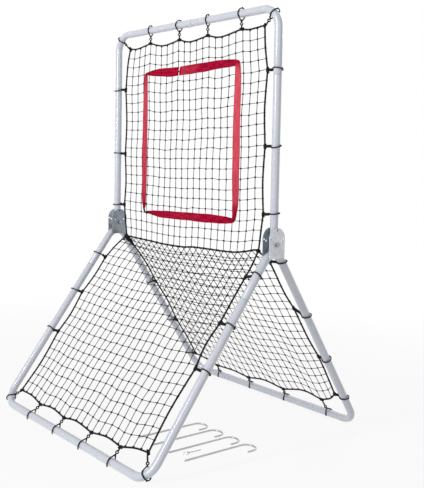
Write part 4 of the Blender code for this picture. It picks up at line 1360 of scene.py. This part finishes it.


# each ribbon's ends as (x, reach), then along it its width, its painted light and shade (a lighter pink below
# 1, the darker doubled crimson at 1, a painted shade in the pinched tips above 1) and its bow to the right or
# up
ribbons = {
    "top": {
        "ends": ((-0.2465, 0.5585), (0.2590, 0.5600)),
        "widths": [
            (0, 0.14), (0.018, 0.33), (0.05, 0.5), (0.093, 0.68), (0.167, 0.86), (0.24, 0.96),
            (0.31, 0.99), (0.38, 0.94), (0.513, 0.99), (0.643, 0.97), (0.768, 0.89), (0.89, 0.8),
            (0.96, 0.68), (1, 0.4),
        ],
        "foldShades": [
            (0, 1.4), (0.05, 1.1), (0.12, 1), (0.33, 1), (0.38, 1.15), (0.4, 1.1), (0.43, 0.7),
            (0.55, 0.75), (0.62, 1), (1, 1.1),
        ],
        "gap": (0.3906, 0.006),  # where the two ends of the webbing meet, and how much the gap leans
        "bow": [
            (0, 0), (0.17, -0.0007), (0.31, -0.0036), (0.51, -0.0035), (0.6, -0.0012), (0.83, 0.0027),
            (1, 0.0015),
        ],
        "lift": 0.0006,
    },
    "bottom": {
        "ends": ((-0.2345, 0.0510), (0.2570, 0.0525)),
        "slant": -0.011,
        "widths": [
            (0, 0.14), (0.018, 0.27), (0.05, 0.38), (0.093, 0.56), (0.167, 0.75), (0.24, 0.83),
            (0.5, 0.87), (0.7, 0.93), (0.83, 0.84), (0.89, 0.74), (0.95, 0.58), (1, 0.35),
        ],
        "foldShades": [
            (0, 1.7), (0.03, 1.5), (0.1, 1.15), (0.2, 1), (0.45, 0.95), (0.7, 1), (0.9, 1.1), (1, 1.4),
        ],
        "bow": [
            (0, 0.001), (0.05, 0.0007), (0.09, 0.0002), (0.17, -0.0011), (0.3, 0.0006), (0.58, 0.0018),
            (0.77, 0.0034), (1, 0.0038),
        ],
        "lift": 0.0,
    },
    "left": {
        "ends": ((-0.2475, 0.0620), (-0.2455, 0.5600)),
        "widths": [
            (0, 0.12), (0.013, 0.25), (0.022, 0.48), (0.035, 0.68), (0.08, 0.78), (0.14, 0.85),
            (0.26, 0.89), (0.5, 0.91), (0.67, 0.87), (0.79, 0.84), (0.91, 0.75), (0.97, 0.66), (1, 0.4),
        ],
        "foldShades": [
            (0, 1.6), (0.03, 1.1), (0.08, 0.8), (0.16, 0.5), (0.5, 0.4), (0.85, 0.25), (0.96, 0.6),
            (1, 1),
        ],
        "bow": [(0, 0.0032), (0.025, 0.0026), (0.06, 0.0002), (0.9, 0), (0.97, 0.001), (1, 0.004)],
        "lift": 0.0006,
    },
    "right": {
        "ends": ((0.2500, 0.0560), (0.2530, 0.5640)),
        "widths": [
            (0, 0.34), (0.03, 0.62), (0.095, 0.86), (0.146, 0.93), (0.2, 1), (0.45, 1.06),
            (0.75, 1), (0.857, 0.95), (0.93, 0.86), (0.97, 0.8), (1, 0.62),
        ],
        "foldShades": [(0, 1.3), (0.08, 0.95), (0.13, 0.4), (0.4, 0.15), (0.8, 0), (0.93, 0), (0.99, 0.7), (1, 1)],
        "bow": [
            (0, -0.003), (0.044, 0), (0.12, 0.003), (0.2, 0.003), (0.3, 0.001), (0.65, 0), (0.9, 0.002),
            (1, 0),
        ],
        "lift": 0.0012,
    },
}


def ribbonStrip(name, job):
    start, end = (Vector((x, zone["depth"], reach)) for x, reach in job["ends"])
    ahead = (end - start).normalized()
    across = ahead.cross(Vector((0, 1, 0))).normalized()
    length = (end - start).length
    aside = Vector((1, 0, 0)) if abs(ahead.z) > 0.5 else Vector((0, 0, 1))
    strip = fresh(name, bpy.ops.mesh.primitive_grid_add, x_subdivisions=8, y_subdivisions=zone["steps"], size=1)
    gapPlace, gapLean = job.get("gap", (-1, 0))
    if gapPlace > 0:
        editAll(strip)
        reach = 0.5 / zone["steps"]
        selectWhere(strip, "faces", lambda face: abs(face.calc_center_median().y + 0.5 - gapPlace) < reach)
        bpy.ops.mesh.delete(type="FACE")
        backToObject()
    foldShade = strip.data.attributes.new("foldShade", "FLOAT", "POINT")
    uvs = {}
    for vert in strip.data.vertices:
        t, w = vert.co.y + 0.5, vert.co.x
        share = between(job["widths"], t)
        gather = 1 - share
        crown = zone["crown"] * math.cos(w * math.pi)
        crown += zone["pucker"] * gather * (0.4 + gather) * math.cos(w * 3 * math.pi)
        ripple = zone["ripple"] * noise.noise(Vector((t * 9, w * 2, start.x * 10 + start.z)))
        sway = zone["sway"] * noise.noise(Vector((t * 5, 4.1, start.x * 7 + end.z)))
        spot = start + ahead * (length * t) + across * (w * zone["width"] * share + sway)
        spot += aside * between(job["bow"], t)
        spot += ahead * (job.get("slant", 0) * (0.5 - w) * max(0, 20 * t - 19))
        spot += ahead * (gapLean * w * max(0, 1 - 12 * abs(t - gapPlace)))
        vert.co = spot - Vector((0, max(crown, 0) + job["lift"] + ripple, 0))
        # painted light and shade along the strip, stored for the webbing's colour
        foldShade.data[vert.index].value = between(job["foldShades"], t)
        uvs[vert.index] = ((w + 0.5) * zone["width"], length * t)
    for loop in strip.data.loops:
        strip.data.uv_layers.active.data[loop.index].uv = uvs[loop.vertex_index]
    return thicken(strip, zone["thick"])


def makeRibbons():
    for name, job in ribbons.items():
        strip = ribbonStrip(f"zoneRibbon_{name}", job)
        setDown(strip, upperPanel)
        finishPiece(strip, finishes["ribbon"], "upper_frame", f"zone_ribbon_{name}", 50)
    run = smoothRun([(x, zone["depth"] - zone["cornerLift"], reach) for x, reach in zone["corner"]], 0.001)
    knot = layCords("zoneKnot", twistStrands(run, *zone["cornerTwist"]), zone["cornerStrand"])
    setDown(knot, upperPanel)
    finishPiece(knot, finishes["gathered"], "upper_frame", None, 60)


makeRibbons()
print("ribbons sewn on")


# loose pieces: four stakes and the lock pin with its ball and ring

stakeWork = {
    "radius": 0.003,
    "length": 0.260,
    "hookWidth": 0.060,
    "hookDrop": 0.051,
    "point": 0.006,
    "tip": 0.0012,
    "nib": 0.0006,
    "blunt": 0.0005,
    "start": 0.110,
    "pitch": 0.078,
    "row": -0.020,
}


def makeStakes():
    work = stakeWork
    bend = work["hookWidth"] / 2 - work["radius"]
    straight = work["length"] - work["radius"] - bend
    tip, nib, blunt = work["tip"], work["nib"], work["blunt"]
    moves = [("width", tip, nib), ("width", work["radius"], work["point"] - nib)]
    moves += [("run", straight - work["point"]), ("bend", bend, math.pi, 30)]
    moves += [("run", work["hookDrop"] - work["radius"] - bend - blunt)]
    moves += [("width", work["radius"] - blunt, blunt)]
    first = closeEnds(drawOut("stake", blunt, moves, 24))
    for i in range(4):
        stake = copyOf(first, f"groundStake_{i + 1}")
        spot = Vector((work["start"] + i * work["pitch"], work["row"], work["radius"]))
        setDown(stake, seatAt(spot - Vector((0, straight, 0)), (1, 0, 0), (0, 1, 0)))
        finishPiece(stake, finishes["stake"], f"stake_{i + 1}", f"ground_stake_{i + 1}")
    bpy.data.objects.remove(first, do_unlink=True)


pinWork = {
    "radius": 0.003,
    "length": 0.050,
    "chamfer": 0.0006,
    "headRadius": 0.0039,
    "headLength": 0.006,
    "ballRadius": 0.0012,
    "ballRise": 0.0006,
    "ballSetback": 0.0055,
    "ringRadius": 0.0098,
    "wire": 0.00034,
    "holeRadius": 0.0016,
    "holeSetback": 0.003,
    "place": (0.300, -0.200),
    "edge": 0.0003,
    "softEdge": 0.00015,
    "ballPlay": 0.0001,
    "ringRest": 0.00065,
    "ringPlay": 0.0003,
}


def makePin():
    work = pinWork
    tilt = math.atan((work["headRadius"] - work["radius"]) / (work["length"] - work["chamfer"]))
    heading = Matrix.Rotation(-tilt, 3, "X") @ Vector((0, 1, 0))
    seat = seatAt(Vector((*work["place"], work["headRadius"] * math.cos(tilt))), (1, 0, 0), heading)
    edge = work["edge"]
    moves = [("width", work["headRadius"], edge), ("width", work["radius"], work["headLength"] - edge)]
    moves += [("run", work["length"] - work["headLength"] - work["chamfer"])]
    moves += [("width", work["radius"] - work["chamfer"], work["chamfer"])]
    pin = closeEnds(drawOut("lockPin", work["headRadius"] - edge, moves, 48))
    punch(pin, seatAt((0, 0, work["holeSetback"]), (0, 1, 0), (1, 0, 0)), work["holeRadius"], -0.01, 0.01)
    ballSeat = seatAt((0, 0, work["length"] - work["ballSetback"]), (0, 1, 0), (-1, 0, 0))
    punch(pin, ballSeat, work["ballRadius"] + work["ballPlay"], -0.0015, 0.006)
    softenEdges(pin, work["softEdge"])
    setDown(pin, seat)
    finishPiece(pin, finishes["pin"], "pin", "lock_pin")
    rise = work["radius"] + work["ballRise"] - work["ballRadius"]
    spot = seat @ ballSeat @ Matrix.Translation((0, 0, rise))
    size = {"segments": 24, "ring_count": 12, "radius": work["ballRadius"]}
    ball = fresh("detentBall", bpy.ops.mesh.primitive_uv_sphere_add, spot, **size)
    finishPiece(ball, finishes["button"], "pin_ball", "lock_pin_ball")
    hole = seat @ Vector((0, 0, work["holeSetback"]))
    radius = work["ringRadius"]
    drop = math.asin((hole.z - work["ringRest"] - work["ringPlay"]) / (2 * radius))
    coil = []
    for i in range(97):
        angle = math.pi / 2 + 2 * math.pi * i / 48
        level = work["wire"] * (1 if i > 48 else -1) * min(1, abs(i - 48) / 6)
        coil.append(Vector((math.cos(angle) * radius, (math.sin(angle) - 1) * radius, level)))
    ring = layCords("pullRing", [coil], work["wire"], 3)
    setDown(ring, Matrix.Translation(hole) @ Matrix.Rotation(drop, 4, "X"))
    finishPiece(ring, finishes["pin"], "pin_ring", "lock_pin_ring", 60)


makeStakes()
makePin()
print("stakes and pin laid down")


# the studio

studio = {
    "floor": 9.0,
    "floorDrop": -0.0006,
    "world": 0.37,
    "fade": (1.1, 2.6),  # metres from the middle where the floor turns into the backdrop
    "key": (128, (0.5, 3.0), (0.2, -4.6, 2.1)),  # watts, sides in metres, place
    "fill": (8, (2.4, 2.4), (3.2, -1.6, 1.8)),
    "rim": (34, (1.6, 1.6), (-1.4, 3.0, 2.6)),
}


def makeFloor():
    size = {"size": 2 * studio["floor"], "location": (0, 0, studio["floorDrop"])}
    floor = fresh("studioFloor", bpy.ops.mesh.primitive_plane_add, **size)
    paint = Paint("studioFloorPaint", Roughness=0.9)
    paint.shader.inputs["Specular IOR Level"].default_value = 0.0
    paint.shader.inputs["Base Color"].default_value = (0.90, 0.90, 0.90, 1)
    kinds = ("Camera", "Glossy", "Transmission")
    rays = [paint.add("ShaderNodeLightPath", {}, {}, f"Is {kind} Ray") for kind in kinds]
    seen = rays[0].maths("MAXIMUM", rays[0], rays[0].maths("MAXIMUM", rays[1], rays[2]))
    away = paint.add("ShaderNodeVectorMath", {"operation": "LENGTH"}, {0: paint.here()}, "Value")
    near, far = studio["fade"]
    settings = {"interpolation_type": "SMOOTHSTEP"}
    sockets = {"Value": away, "From Min": near, "From Max": far, "To Min": 0.88}
    opened = paint.add("ShaderNodeMapRange", settings, sockets)
    glow = paint.add("ShaderNodeEmission", {}, {"Color": (1, 1, 1, 1), "Strength": 1.0})
    body = Wire(paint, paint.shader.outputs[0])
    mixed = paint.add("ShaderNodeMixShader", {}, {0: seen * opened, 1: body, 2: glow})
    paint.tree.links.new(mixed.socket, paint.tree.nodes["Material Output"].inputs["Surface"])
    floor.data.materials.append(paint.material)


def makeLamps():
    for name in ("key", "fill", "rim"):
        watts, size, place = studio[name]
        deselectAll()
        bpy.ops.object.light_add(type="AREA", location=place)
        lamp = newest(f"{name}Lamp")
        lamp.data.energy = watts
        lamp.data.shape = "RECTANGLE"
        lamp.data.size, lamp.data.size_y = size
        lamp.rotation_euler = (Vector((0, 0, 0.6)) - Vector(place)).to_track_quat("-Z", "Y").to_euler()


def makeWorld():
    world = bpy.data.worlds.new("studioWorld")
    bpy.context.scene.world = world
    world.use_nodes = True
    nodes, links = world.node_tree.nodes, world.node_tree.links
    background = nodes["Background"]
    background.inputs["Color"].default_value = (1, 1, 1, 1)
    path = nodes.new("ShaderNodeLightPath")
    seen = path.outputs["Is Camera Ray"]
    for kind in ("Glossy", "Transmission"):
        either = nodes.new("ShaderNodeMath")
        either.operation = "MAXIMUM"
        links.new(seen, either.inputs[0])
        links.new(path.outputs[f"Is {kind} Ray"], either.inputs[1])
        seen = either.outputs[0]
    strength = nodes.new("ShaderNodeMix")
    strength.inputs[2].default_value = studio["world"]
    strength.inputs[3].default_value = 1.0
    links.new(seen, strength.inputs[0])
    links.new(strength.outputs[0], background.inputs["Strength"])
    bpy.context.scene.view_settings.view_transform = "Standard"


makeFloor()
makeLamps()
makeWorld()
print("studio lit")
